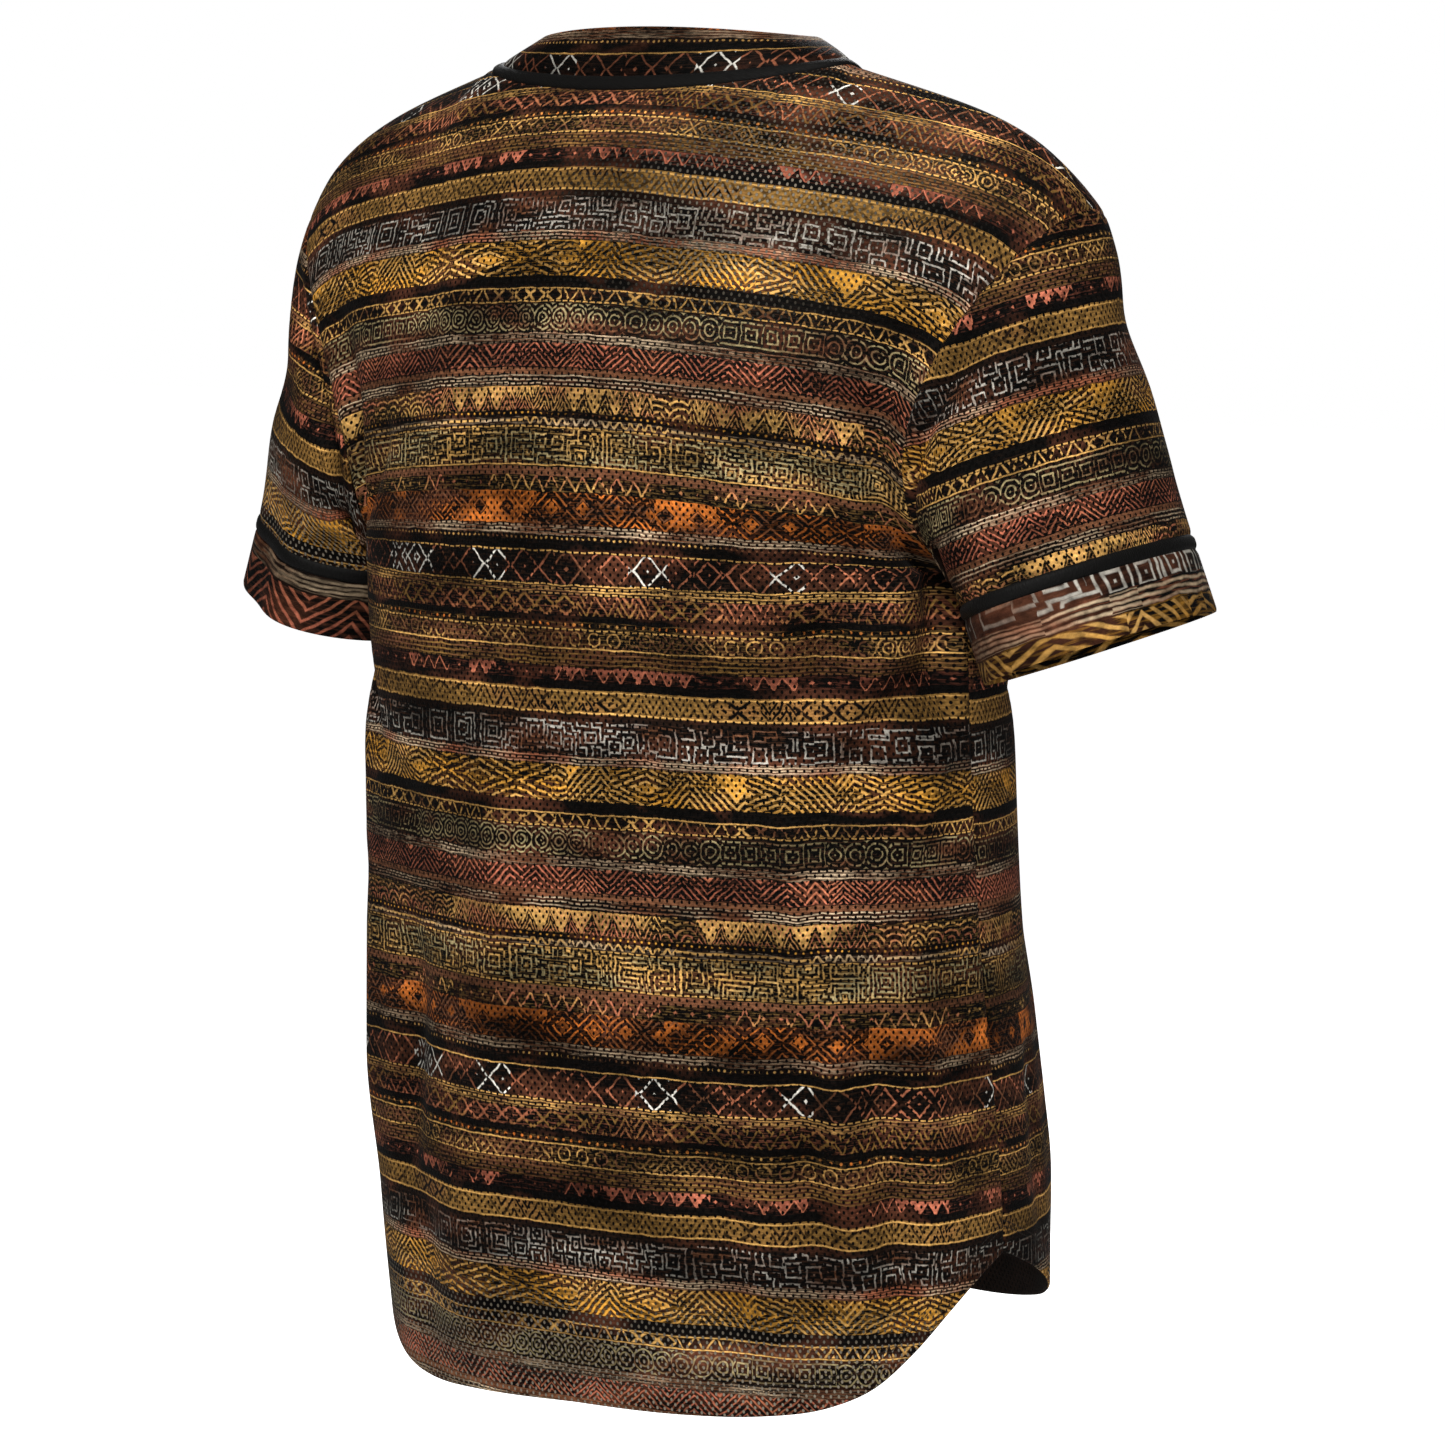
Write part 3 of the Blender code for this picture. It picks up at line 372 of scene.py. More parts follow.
def path(share, start, leave, end, arrive):
    """A smooth path between two points with its two end directions."""
    t = np.asarray(share)[..., None]
    return (
        (2 * t**3 - 3 * t**2 + 1) * start
        + (t**3 - 2 * t**2 + t) * leave
        + (3 * t**2 - 2 * t**3) * end
        + (t**3 - t**2) * arrive
    )


def read_table(rows, at):
    """The columns of a table after its first, as smooth curves of the first."""
    marks = np.array([row[0] for row in rows])
    values = np.array([row[1:] for row in rows])
    slopes = np.gradient(values, marks, axis=0)
    at = np.clip(np.asarray(at, float), marks[0], marks[-1])
    low = np.clip(np.searchsorted(marks, at) - 1, 0, len(marks) - 2)
    step = (marks[low + 1] - marks[low])[..., None]
    t = (at - marks[low])[..., None] / step
    found = (
        (2 * t**3 - 3 * t**2 + 1) * values[low]
        + (t**3 - 2 * t**2 + t) * step * slopes[low]
        + (3 * t**2 - 2 * t**3) * values[low + 1]
        + (t**3 - t**2) * step * slopes[low + 1]
    )
    return np.moveaxis(found, -1, 0)


def section_at(z):
    """Half width, depth behind, depth in front and seam line of the torso at a height."""
    return read_table(SECTIONS, z)


def power_sin(angle):
    return np.sign(np.sin(angle)) * np.abs(np.sin(angle)) ** (2.0 / SECTION_POWER)


def power_cos(angle):
    return np.abs(np.cos(angle)) ** (2.0 / SECTION_POWER)


def hem_z(side, across):
    """Height of the hem at a signed share of the way to the side seam, + at the wearer's left."""
    back_right, back_left, front = read_table(HEMS, np.abs(across))
    if side < 0:
        return front
    return np.where(across < 0, back_right, back_left)


def torso(side, across, z):
    """Points of the torso below the underarm."""
    half_width, back_depth, front_depth, seam_y = section_at(z)
    depth = back_depth if side > 0 else front_depth
    angle = across * math.pi / 2
    return np.stack([half_width * power_sin(angle), seam_y + side * depth * power_cos(angle), z], -1)


def underarm_level(side):
    """Half width, depth and seam line of the torso where the armholes start."""
    half_width, back_depth, front_depth, seam_y = (float(value) for value in section_at(UNDERARM_Z))
    return half_width, back_depth if side > 0 else front_depth, seam_y


def armhole(side, share):
    """The armhole seam at +X: share 0 at the side seam, 1 at the shoulder."""
    half_width, _, seam_y = underarm_level(side)
    turn = math.pi * share
    rise = (1.0 - np.cos(turn)) / 2.0
    reach, inset = ARMHOLE_REACH[side], ARMHOLE_INSET[side]
    start = np.array((half_width, seam_y, UNDERARM_Z))
    found = start + (SHOULDER_END - start) * rise[..., None]
    found[..., 0] -= inset * np.sin(turn) ** 2 * (1.0 + ARMHOLE_INSET_LOW * np.cos(turn))
    found[..., 1] += side * reach * np.sin(turn)
    return found


def neck_ring(turn, line):
    """A loop round the neck: turn 0 at the centre back, pi/2 at the high point, pi at the centre front."""
    behind = np.cos(turn) > 0
    lean = np.abs(np.cos(turn))
    y = line.point_y + np.where(behind, line.back_y - line.point_y, line.front_y - line.point_y) * lean
    fall = np.where(behind, line.back_z - line.point_z, line.front_z - line.point_z)
    return np.stack([line.half * np.sin(turn), y, line.point_z + fall * lean**NECK_SCOOP], -1)


def shoulder_seam(share):
    """From the neck point (0) to the top of the sleeve (1), rounding over more and more steeply."""
    start = neck_ring(np.array(math.pi / 2), NECK_SEAM)
    found = start + (SHOULDER_END - start) * share[..., None]
    drop = SHOULDER_SLOPE * share + (1 - SHOULDER_SLOPE) * share**SHOULDER_STEEP_POWER
    found[..., 2] = SHOULDER_END[2] * drop
    return found


def top_edge(side, across):
    """The upper edge of a panel: the neck seam, then the shoulder seam."""
    middle = 0.0 if side > 0 else math.pi
    turn = middle + side * (math.pi / 2) * np.minimum(across / NECK_SHARE, 1.0)
    share = np.clip((across - NECK_SHARE) / (1.0 - NECK_SHARE), 0.0, 1.0)
    return np.where((across <= NECK_SHARE)[..., None], neck_ring(turn, NECK_SEAM), shoulder_seam(share))


def centre_line(side, share):
    """The middle of the back or front, from the underarm level to the neck seam."""
    _, depth, seam_y = underarm_level(side)
    start = seam_y + side * depth
    bends = [(0, start + y, z) for y, z in CENTRE_BENDS[side]]
    back, front = (0, NECK_SEAM.back_y, NECK_SEAM.back_z), (0, NECK_SEAM.front_y, NECK_SEAM.front_z)
    return bezier(share, (0, start, UNDERARM_Z), *bends, back if side > 0 else front)


def top_departure(side, across, share):
    """How far the neck and shoulder seams lie from the plain arc, smoothed the more the lower the row."""
    spread = CORNER_SPREAD * (1.0 - share) * 4.0 * across * (1.0 - across)
    total = 0.0
    for offset in CORNER_STEPS:
        near = np.clip(across + offset * spread, 0.0, 1.0)
        total = total + top_edge(side, near) - plain_arc(side, near, np.ones_like(near))
    return total / len(CORNER_STEPS)


def armhole_share(share):
    """The place on the armhole seam where a chest row ends."""
    return share**ARMHOLE_ROWS


def plain_arc(side, across, share):
    """A row of the chest as an arc from the middle line to the armhole."""
    edge = armhole(side, armhole_share(share))
    middle = centre_line(side, share)
    _, depth, seam_y = underarm_level(side)
    cosine = np.clip(side * (edge[..., 1] - seam_y) / depth, 0.0, 0.999) ** (SECTION_POWER / 2.0)
    widest = np.arccos(cosine)
    angle = across * widest
    lean = (power_cos(angle) - power_cos(widest)) / (1.0 - power_cos(widest))
    return np.stack(
        [
            edge[..., 0] * power_sin(angle) / power_sin(widest),
            edge[..., 1] + (middle[..., 1] - edge[..., 1]) * lean,
            middle[..., 2] + (edge[..., 2] - middle[..., 2]) * across**2.0,
        ],
        -1,
    )


def chest(side, across, share):
    """Points between the underarm level (share 0) and the neck and shoulder seams (share 1), at +X."""
    arc = plain_arc(side, np.abs(across), share)
    mix = (share**TOP_MIX_POWER)[..., None]
    found = arc + mix * top_departure(side, np.abs(across), share)
    found[..., 0] *= np.where(across < 0, -1.0, 1.0)
    return found


def panel_point(side, across, climb):
    """A point of the torso: climb 0 at the hem, 1 at the underarm level, 2 at the upper seams."""
    across, climb = np.broadcast_arrays(np.asarray(across, float), np.asarray(climb, float))
    hem = hem_z(side, across)
    z = hem + (UNDERARM_Z - hem) * np.clip(climb, 0.0, 1.0)
    low = torso(side, across, z)
    high = chest(side, across, np.clip(climb - 1.0, 0.0, 1.0))
    return np.where((climb <= 1.0)[..., None], low, high)


def grid_normals(grid, closed=False):
    """Unit normals of a grid of points, rows by columns, facing out of the shirt."""
    if closed:
        across = np.roll(grid, -1, axis=1) - np.roll(grid, 1, axis=1)
    else:
        across = np.gradient(grid, axis=1)
    along = np.gradient(grid, axis=0)
    return unit(np.cross(across, along))


def closing_step(x, over):
    """How far a front stands ahead of the seam line (over) or behind it (under) near the centre front."""
    reach = smooth(1.0 - (np.abs(x) - OVERLAP_HALF) / CLOSING_FADE)
    return (1.0 if over else -1.0) * CLOSING_STEP * reach


def climb_rows():
    """Row positions from the hem to the top, closest together at the hem and under the upper seams."""
    low = np.concatenate([[0.0], EDGE_STEPS / BODY_HEIGHT, np.linspace(0.0, 1.0, BODY_STEPS + 1)[1:]])
    high = 1.0 + np.linspace(0.0, 1.0, CHEST_STEPS + 1)[1:-1] ** CHEST_CLOSENESS
    return np.concatenate([low, high, 2.0 - EDGE_STEPS[::-1] / CHEST_HEIGHT, [2.0]])


def half_columns():
    neck = np.linspace(0.0, NECK_SHARE, COLUMNS_NECK + 1)
    shoulder = np.linspace(NECK_SHARE, 1.0, SHOULDER_STEPS + 1)[1:-1]
    return np.concatenate([neck, shoulder, 1.0 - EDGE_STEPS[::-1] / HALF_GIRTH, [1.0]])


def whole_places():
    """Places of a whole panel's grid, from the wearer's right side seam to the left."""
    return np.meshgrid(np.concatenate([-half_columns()[:0:-1], half_columns()]), climb_rows())


def armhole_places():
    """Columns of the sleeve that meet the chest rows of the back, and those that meet the front's."""
    rows = np.arange(ROWS_CHEST + 1)
    return rows, -rows % (2 * ROWS_CHEST)


def neck_places():
    """Columns of the neck strip that meet the neck columns of the back, and those of the front, at +X."""
    columns = np.arange(COLUMNS_NECK + 1)
    middle = 2 * COLUMNS_NECK + NECK_EXTRA
    return middle + columns, middle + 2 * COLUMNS_NECK - columns


def shared_normals():
    """Normals of the back, of the whole front, of the sleeve's first row and of the neck strip's first line.

    Pieces that meet at a seam have the same normals there, so their walls stand side by side. At the
    underarm, where torso and sleeve fold apart, each keeps its own.
    """
    across, climb = whole_places()
    panels = [grid_normals(panel_point(side, across, climb)) * -side for side in (+1, -1)]
    both = unit(panels[0] + panels[1])
    side_seam = (np.abs(across) > 0.999) & (climb < 1.001)
    shoulder_seam_row = (np.abs(across) > NECK_SHARE - 0.001) & (climb > 1.999)
    meets = (side_seam | shoulder_seam_row)[..., None]
    panels = [np.where(meets, both, panel) for panel in panels]

    sleeve_own = outward_normals(sleeve_rows(0))[0]
    sleeve = sleeve_own.copy()
    for panel, places in zip(panels, armhole_places()):
        edge = panel[ROWS_BODY:, -1]
        weight = smooth((turn_between(around_columns()[places], 0.0) - 0.15) / 0.25)[:, None]
        shared = unit(edge + sleeve_own[places])
        panel[ROWS_BODY:, -1] = unit(edge * (1.0 - weight) + shared * weight)
        panel[ROWS_BODY:, 0] = panel[ROWS_BODY:, -1] * MIRROR
        sleeve[places] = unit(sleeve_own[places] * (1.0 - weight) + shared * weight)

    neck_own = neck_normals()
    neck = neck_own.copy()
    middle = len(half_columns()) - 1
    for panel, places in zip(panels, neck_places()):
        columns = middle + np.arange(COLUMNS_NECK + 1)
        even = unit(neck_own[places] + neck_own[::-1][places] * MIRROR)
        shared = unit(panel[-1, columns] + even)
        panel[-1, columns] = shared
        panel[-1, 2 * middle - columns] = shared * MIRROR
        neck[places] = shared
        neck[len(neck) - 1 - places] = shared * MIRROR
    neck[:NECK_EXTRA] = neck[NECK_EXTRA]
    neck[-NECK_EXTRA:] = neck[-NECK_EXTRA - 1]
    return panels[0], panels[1], sleeve, neck


def across_at(climb, distance):
    """The share of the front's width that lies at a small distance in x from the centre, on each row."""
    probe = 0.02
    spread = panel_point(-1, np.full_like(climb, probe), climb)[..., 0] / probe
    return distance / spread[:, None]


def cuff_axes():
    """The sleeve's direction at its end, and the axes of its ring: to the outside and to the back."""
    along = np.array(
        (
            math.sin(CUFF_OUTWARD),
            -math.sin(CUFF_FORWARD) * math.cos(CUFF_OUTWARD),
            -math.cos(CUFF_OUTWARD) * math.cos(CUFF_FORWARD),
        )
    )
    outward = unit(np.cross((0.0, 1.0, 0.0), -along))
    backward = unit(np.cross(outward, along))
    return along, outward, backward * np.sign(backward[1])


def turn_between(around, mark):
    """The shorter way round a sleeve between two places."""
    turn = np.abs(around - mark)
    return np.minimum(turn, 2.0 - turn)


def clear_of_torso(points):
    """Points of a sleeve at +X, moved out where they would touch the torso's side below the underarm."""
    half_width, back_depth, front_depth, seam_y = section_at(points[..., 2])
    behind = points[..., 1] - seam_y
    share = np.minimum(np.abs(behind) / np.where(behind > 0, back_depth, front_depth), 1.0)
    torso_x = half_width * (1.0 - share**SECTION_POWER) ** (1.0 / SECTION_POWER)
    short = torso_x + SLEEVE_CLEAR - points[..., 0]
    push = (short + np.sqrt(short**2 + SLEEVE_CLEAR_SOFT**2)) / 2.0
    moved = points.copy()
    moved[..., 0] += push * smooth((UNDERARM_Z - points[..., 2]) / SLEEVE_CLEAR_FADE)
    return moved


def free_ring(around, up_from_hem, side):
    """The sleeve's end ring as if no torso were near: around 0 underarm, 0.5 back, 1 outside, 1.5 front."""
    along, outward, backward = cuff_axes()
    angle = math.pi * around[..., None]
    ring = -np.cos(angle) * CUFF_HALF_WIDTH * outward + np.sin(angle) * CUFF_HALF_DEPTH * backward
    stretch = np.ones_like(around)
    for wave in CUFF_WAVES:
        if wave.side == side:
            near = (turn_between(around, wave.around) / wave.width) ** 2
            stretch = stretch + wave.depth / CUFF_HALF_WIDTH * np.exp(-near)
    return CUFF_CENTRE + ring * stretch[..., None] - along * up_from_hem


def cuff_ring(around, up_from_hem, side):
    """The sleeve's end at a distance above its hem."""
    return clear_of_torso(free_ring(around, up_from_hem, side))


def armhole_loop(around):
    """The whole armhole seam: around 0 underarm, 0.5 back, 1 shoulder, 1.5 front."""
    behind = armhole(+1, np.clip(around, 0.0, 1.0))
    before = armhole(-1, np.clip(2.0 - around, 0.0, 1.0))
    return np.where((around <= 1.0)[..., None], behind, before)


def sleeve_point(around, along, side):
    """A point of the sleeve: along 0 at the armhole, 1 at the piping."""
    start = armhole_loop(around)
    end = free_ring(around, SLEEVE_BAND_WIDTH + PIPING_WIDTH, side)
    down, _, _ = cuff_axes()
    angle = math.pi * around
    leave = unit(np.stack([0.34 + 0.0 * angle, 0.32 * np.sin(angle), -0.94 + 0.0 * angle], -1))
    reach = np.linalg.norm(end - start, axis=-1, keepdims=True)
    return clear_of_torso(path(along, start, leave * reach, end, down * reach * 0.9))


def around_columns():
    """Places round the sleeve that meet the ends of the chest rows at the armhole."""
    behind = armhole_share(climb_rows()[ROWS_BODY:] - 1.0)
    return np.concatenate([behind, 2.0 - behind[-2:0:-1]])


def sleeve_places():
    steps = np.linspace(0.0, 1.0, SLEEVE_STEPS + 1)
    close = EDGE_STEPS / SLEEVE_LENGTH
    between = steps[(steps > close[-1] + MM) & (steps < 1.0 - close[-1] - MM)]
    rows = np.concatenate([[0.0], close, between, 1.0 - close[::-1], [1.0]])
    return np.meshgrid(around_columns(), rows)


def sleeve_rows(side):
    return sleeve_point(*sleeve_places(), side)


def outward_normals(grid):
    """Normals of a closed tube of rows, turned away from each row's middle."""
    normals = grid_normals(grid, closed=True)
    middle = grid.mean(axis=1, keepdims=True)
    if ((grid - middle) * normals).sum() < 0:
        normals = -normals
    return normals


def neck_strip(share):
    """A line round the neck at a share of the way from the seam to the band's top edge."""
    turn = neck_turns()
    line = neck_ring(turn, NECK_SEAM) * (1 - share) + neck_ring(turn, BAND_TOP) * share
    own_side = np.where(np.abs(turn) > math.pi / 2, np.abs(line[:, 0]), 1.0)
    step = np.where(turn > 0, closing_step(own_side, True), closing_step(own_side, False))
    return line + AHEAD * step[:, None]


def neck_normals():
    """Normals of the strips round the neck, facing away from it."""
    low, high = neck_strip(0.0), neck_strip(1.0)
    normal = np.cross(high - low, np.gradient(low, axis=0))
    normal = unit(normal)
    return normal if (normal * (low - low.mean(axis=0))).sum() > 0 else -normal


def walked(grid, axis):
    """Length along the cloth from the first row or column."""
    steps = np.linalg.norm(np.diff(grid, axis=axis), axis=-1)
    start = np.zeros_like(np.take(steps, [0], axis=axis))
    return np.cumsum(np.concatenate([start, steps], axis=axis), axis=axis)


def crease_lift(creases, u, v, girth=None):
    """How far the creases, soft bowed lines with tapering ends, move the cloth out at places in mm."""
    total = np.zeros_like(u)
    for crease in creases:
        along = np.array((crease.u_end - crease.u, crease.v_end - crease.v))
        length = np.hypot(*along)
        for turn in (0.0,) if girth is None else (-girth, 0.0, girth):
            du = u + turn - crease.u
            dv = v - crease.v
            share = (du * along[0] + dv * along[1]) / length**2
            off = (dv * along[0] - du * along[1]) / length - crease.bow * 4.0 * share * (1.0 - share)
            taper = smooth(share / CREASE_TAPER) * smooth((1.0 - share) / CREASE_TAPER)
            total += crease.depth * MM * taper * np.exp(-((off / crease.width) ** 2))
    return total


def torso_lift(grid, side, across, climb, share):
    """Large folds and creases of a torso panel, dying away towards its seams."""
    lift = np.zeros(grid.shape[:2])
    for fold in FOLDS:
        if fold.side == side:
            near = ((across - fold.across) * HALF_GIRTH / fold.width) ** 2
            near = near + ((grid[..., 2] - fold.z) / fold.length) ** 2
            lift += fold.depth * np.exp(-near) * smooth((1.0 - np.abs(across)) / FOLD_FADE)
    u = across * HALF_GIRTH / MM
    fine = crease_lift(TORSO_CREASES[side], u, grid[..., 2] / MM)
    fade = smooth((1.0 - np.abs(across)) / CREASE_FADE) * smooth((2.0 - climb) / TOP_FADE)
    return lift + share * fine * fade


def seam_dip(distance, depth):
    """The cloth rolls in towards a seam, which leaves the fine groove along it."""
    return -depth * np.exp(-((distance / SEAM_DIP_WIDTH) ** 2))


def nearest(*distances):
    return functools.reduce(np.minimum, distances)


def rounded(outer, inner, edges):
    """Draws two skins together at the named free edges, so that a folded edge ends round."""
    outer = outer.copy()
    inner = inner.copy()
    for name in edges:
        for step, share in enumerate(EDGE_ROUNDING):
            spot = {
                "bottom": (step, slice(None)),
                "top": (-1 - step, slice(None)),
                "first": (slice(None), step),
                "last": (slice(None), -1 - step),
            }[name]
            gap = inner[spot] - outer[spot]
            outer[spot] += gap * share
            inner[spot] -= gap * share
    return outer, inner


def shell_object(name, outer, inner, finishes, cloth, edge=None, closed=False):
    """A closed shell between two grids of points. cloth and edge are grids of UV places in metres.

    finishes are its materials: the face side, then the reverse. A closed grid wraps round its columns.
    """
    rows, columns = outer.shape[:2]
    wide = columns if closed else columns - 1
    i, j = (part.ravel() for part in np.meshgrid(np.arange(rows - 1), np.arange(wide), indexing="ij"))
    count = rows * columns

    def corner(row, column, skin):
        return row * columns + column % columns + skin * count, row * (columns + 1) + column

    quads = [
        [corner(i, j, 0), corner(i, j + 1, 0), corner(i + 1, j + 1, 0), corner(i + 1, j, 0)],
        [corner(i, j, 1), corner(i + 1, j, 1), corner(i + 1, j + 1, 1), corner(i, j + 1, 1)],
    ]
    j = np.arange(wide)
    for row, first, second in ((0, 1, 0), (rows - 1, 0, 1)):
        at = np.full_like(j, row)
        rim = ((j, first), (j + 1, first), (j + 1, second), (j, second))
        quads.append([corner(at, place, skin) for place, skin in rim])
    if not closed:
        i = np.arange(rows - 1)
        for column, first, second in ((0, 0, 1), (columns - 1, 1, 0)):
            at = np.full_like(i, column)
            rim = ((i, first), (i + 1, first), (i + 1, second), (i, second))
            quads.append([corner(place, at, skin) for place, skin in rim])
    corners = np.concatenate([np.stack([c[0] for c in quad], -1) for quad in quads])
    places = np.concatenate([np.stack([c[1] for c in quad], -1) for quad in quads])
    reverse = np.zeros(len(corners), int)
    face_count = len(quads[0][0][0])
    if len(finishes) > 1:
        reverse[face_count : 2 * face_count] = 1
    points = np.concatenate([outer.reshape(-1, 3), inner.reshape(-1, 3)])
    a, b, c, d = (points[corners[:, k]] for k in range(4))
    if (np.cross(c - a, d - b) * (a + c)).sum() < 0:
        corners, places = corners[:, ::-1], places[:, ::-1]

    data = bpy.data.meshes.new(name)
    data.from_pydata(points.tolist(), [], corners.tolist())
    far_from_edge = np.ones((rows, columns + 1, 2))
    for label, grid in (("Cloth", cloth), ("Edge", far_from_edge if edge is None else edge)):
        if grid.shape[1] == columns:
            grid = np.concatenate([grid, grid[:, -1:]], axis=1)
        layer = data.uv_layers.new(name=label)
        layer.data.foreach_set("uv", grid.reshape(-1, 2)[places.ravel()].astype(np.float32).ravel())
    for finish in finishes:
        data.materials.append(finish)
    data.polygons.foreach_set("material_index", reverse.astype(np.int32))
    data.shade_smooth()
    data.set_sharp_from_angle(angle=FOLD_ANGLE)
    data.update()
    made = bpy.data.objects.new(name, data)
    bpy.context.scene.collection.objects.link(made)
    return made


def keep(piece, node):
    """Puts a finished piece in the place of its solid."""
    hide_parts(node)
    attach(piece, "root")
    return piece


def light_behind(piece, values):
    """How much daylight is painted into the eyelets, 0 to 1, on both skins."""
    layer = piece.data.attributes.new("light_behind", "FLOAT", "POINT")
    layer.data.foreach_set("value", np.tile(values.ravel(), 2).astype(np.float32))


@functools.cache
def seam_normals():
    return shared_normals()


def panel_maps(grid, middle, shift):
    """UV places of a torso panel: level rows up to the underarm, then along the cloth, and its hem's."""
    across = walked(grid, 1)
    u = across - across[:, middle : middle + 1]
    up = walked(grid, 0)
    v = np.where(np.arange(len(grid))[:, None] > ROWS_BODY, UNDERARM_Z + up - up[ROWS_BODY], grid[..., 2])
    return np.stack([u + shift[0], v + shift[1]], -1), np.stack([u, up], -1)


def hem_wall(up, cloth):
    """Thickness of the cloth: nearly double below the hem's stitching."""
    return cloth * (1.0 + HEM_THICKER * smooth(1.0 - (up - HEM_TURN) / HEM_STEP))


def tail_light(z):
    """How much daylight is painted into the eyelets at the shirt's tail, which stands free of the front."""
    return smooth((TAIL_LIGHT_Z - z) / TAIL_LIGHT_FADE)


def make_back(sizes, finishes):
    across, climb = whole_places()
    normals = seam_normals()[0]
    plain = panel_point(+1, across, climb)
    columns = walked(plain, 1)
    up = walked(plain, 0)
    edge_distance = nearest(columns, columns[:, -1:] - columns, up[-1:] - up)
    lift = torso_lift(plain, +1, across, climb, sizes.crease_share)
    lift += seam_dip(edge_distance, sizes.seam_dip)
    grid = plain + normals * lift[..., None]
    cloth, edge = panel_maps(plain, len(half_columns()) - 1, (0.0, 0.0))
    inner = grid - normals * hem_wall(up, sizes.cloth_wall)[..., None]
    outer, inner = rounded(grid, inner, ("bottom",))
    piece = shell_object("back_panel", outer, inner, finishes, cloth, edge)
    # Painted daylight in the eyelets: a patch on the upper back near the wearer's right shoulder, and the
    # tail
    off = ((across - SHOULDER_LIGHT_ACROSS) / SHOULDER_LIGHT_WIDE) ** 2
    off = off + ((plain[..., 2] - SHOULDER_LIGHT_Z) / SHOULDER_LIGHT_HIGH) ** 2
    light_behind(piece, np.maximum(SHOULDER_LIGHT * np.exp(-off), BACK_LIGHT * tail_light(plain[..., 2])))
    keep(piece, "back")


def make_front(name, node, over, sizes, finishes):
    """One front: the wearer's left lies over the right."""
    climb = climb_rows()
    columns = half_columns()
    beyond = across_at(climb, -OVERLAP_HALF * BEYOND_CENTRE)
    across = np.concatenate([beyond, np.broadcast_to(columns, (len(climb), len(columns)))], axis=1)
    climbs = np.broadcast_to(climb[:, None], across.shape)
    plain = panel_point(-1, across, climbs)
    normals = grid_normals(plain)
    whole = seam_normals()[1]
    first = beyond.shape[1]
    if over:
        normals[:, first:] = whole[:, -len(columns) :]
    else:
        normals[:, first:] = whole[:, : len(columns)][:, ::-1] * MIRROR
    normals[-1, :first] = normals[-1, first]
    side = walked(plain, 1)
    up = walked(plain, 0)
    lift = torso_lift(plain, -1, across if over else -across, climbs, sizes.crease_share)
    lift += seam_dip(nearest(side[:, -1:] - side, up[-1:] - up), sizes.seam_dip)
    grid = plain + normals * lift[..., None]
    grid = grid + AHEAD * closing_step(grid[..., 0], over)[..., None]
    cloth, edge = panel_maps(plain, first, FRONT_PRINT_SHIFT)
    inner = grid - normals * hem_wall(up, sizes.cloth_wall)[..., None]
    outer, inner = rounded(grid, inner, ("bottom", "first"))
    if not over:
        outer, inner = outer * MIRROR, inner * MIRROR
        cloth = cloth * np.array((-1.0, 1.0))
    piece = shell_object(name, outer, inner, finishes, cloth, edge)
    single = smooth((side - 2.1 * OVERLAP_HALF) / (3.0 * MM))  # no daylight is painted into the eyelets of the doubled closing
    light_behind(piece, FRONT_LIGHT * single * tail_light(plain[..., 2]))
    keep(piece, node)
    return piece


def placket_surface(climb, distances, lift, share):
    """Points and normals that lie on the closing edge of the wearer's left front, moved out by a lift."""
    across = across_at(climb, distances[None, :])
    climbs = np.broadcast_to(climb[:, None], across.shape)
    grid = panel_point(-1, across, climbs)
    normals = grid_normals(grid)
    grid = grid + normals * torso_lift(grid, -1, across, climbs, share)[..., None]
    step = closing_step(grid[..., 0], True)[..., None]
    return grid + AHEAD * step + normals * lift, normals


def make_placket(sizes, finishes):
    climb = climb_rows()
    half = OVERLAP_HALF - PLACKET_MARGIN
    distances = half * PLACKET_COLUMNS
    grid, normals = placket_surface(climb, distances, LAY_GAP + PLACKET_WALL, sizes.crease_share)
    across = walked(grid, 1)
    up = walked(grid, 0)
    edge_distance = nearest(across, across[:, -1:] - across)
    dent = seam_dip(np.abs(edge_distance - PLACKET_STITCH), 0.15 * MM)
    outer = grid + normals * dent[..., None]
    under = grid - normals * (PLACKET_WALL + LAY_GAP - SEWN_GAP)
    outer, inner = rounded(outer, under, ("bottom", "first", "last"))
    v = UNDERARM_Z + up - up[ROWS_BODY]
    cloth = np.stack([across - half + PLACKET_PRINT_SHIFT[0], v + PLACKET_PRINT_SHIFT[1]], -1)
    edge = np.stack([up, edge_distance + HEM_TURN - PLACKET_STITCH], -1)
    piece = shell_object("placket_strip", outer, inner, finishes, cloth, edge)
    keep(piece, "placket")
    return piece


def sleeve_grid(side, sizes):
    """The sleeve's points with its folds and creases, and their normals."""
    around, along = sleeve_places()
    plain = sleeve_rows(side)
    normals = outward_normals(plain)
    normals[0] = seam_normals()[2]
    lift = np.zeros(plain.shape[:2])
    for fold in SLEEVE_FOLDS:
        if fold.side != -side:
            near = (turn_between(around, fold.around) / fold.width) ** 2
            near = near + ((along - fold.along) / fold.length) ** 2
            lift += fold.depth * np.exp(-near) * np.sin(math.pi * along) ** 2
    u = around * SLEEVE_UNIT
    fine = crease_lift(SLEEVE_CREASES[side], u, along * SLEEVE_DROP, 2.0 * SLEEVE_UNIT)
    lift += sizes.crease_share * fine * smooth(along / TOP_FADE) * smooth((1.0 - along) / TOP_FADE)
    down = walked(plain, 0)
    lift += seam_dip(nearest(down, down[-1:] - down), sizes.seam_dip)
    grid = plain + normals * lift[..., None]
    grid[0, :, 0] += UNDERARM_LIFT * smooth(1.0 - turn_between(around[0], 0.0) / 0.4)
    return plain, grid, normals


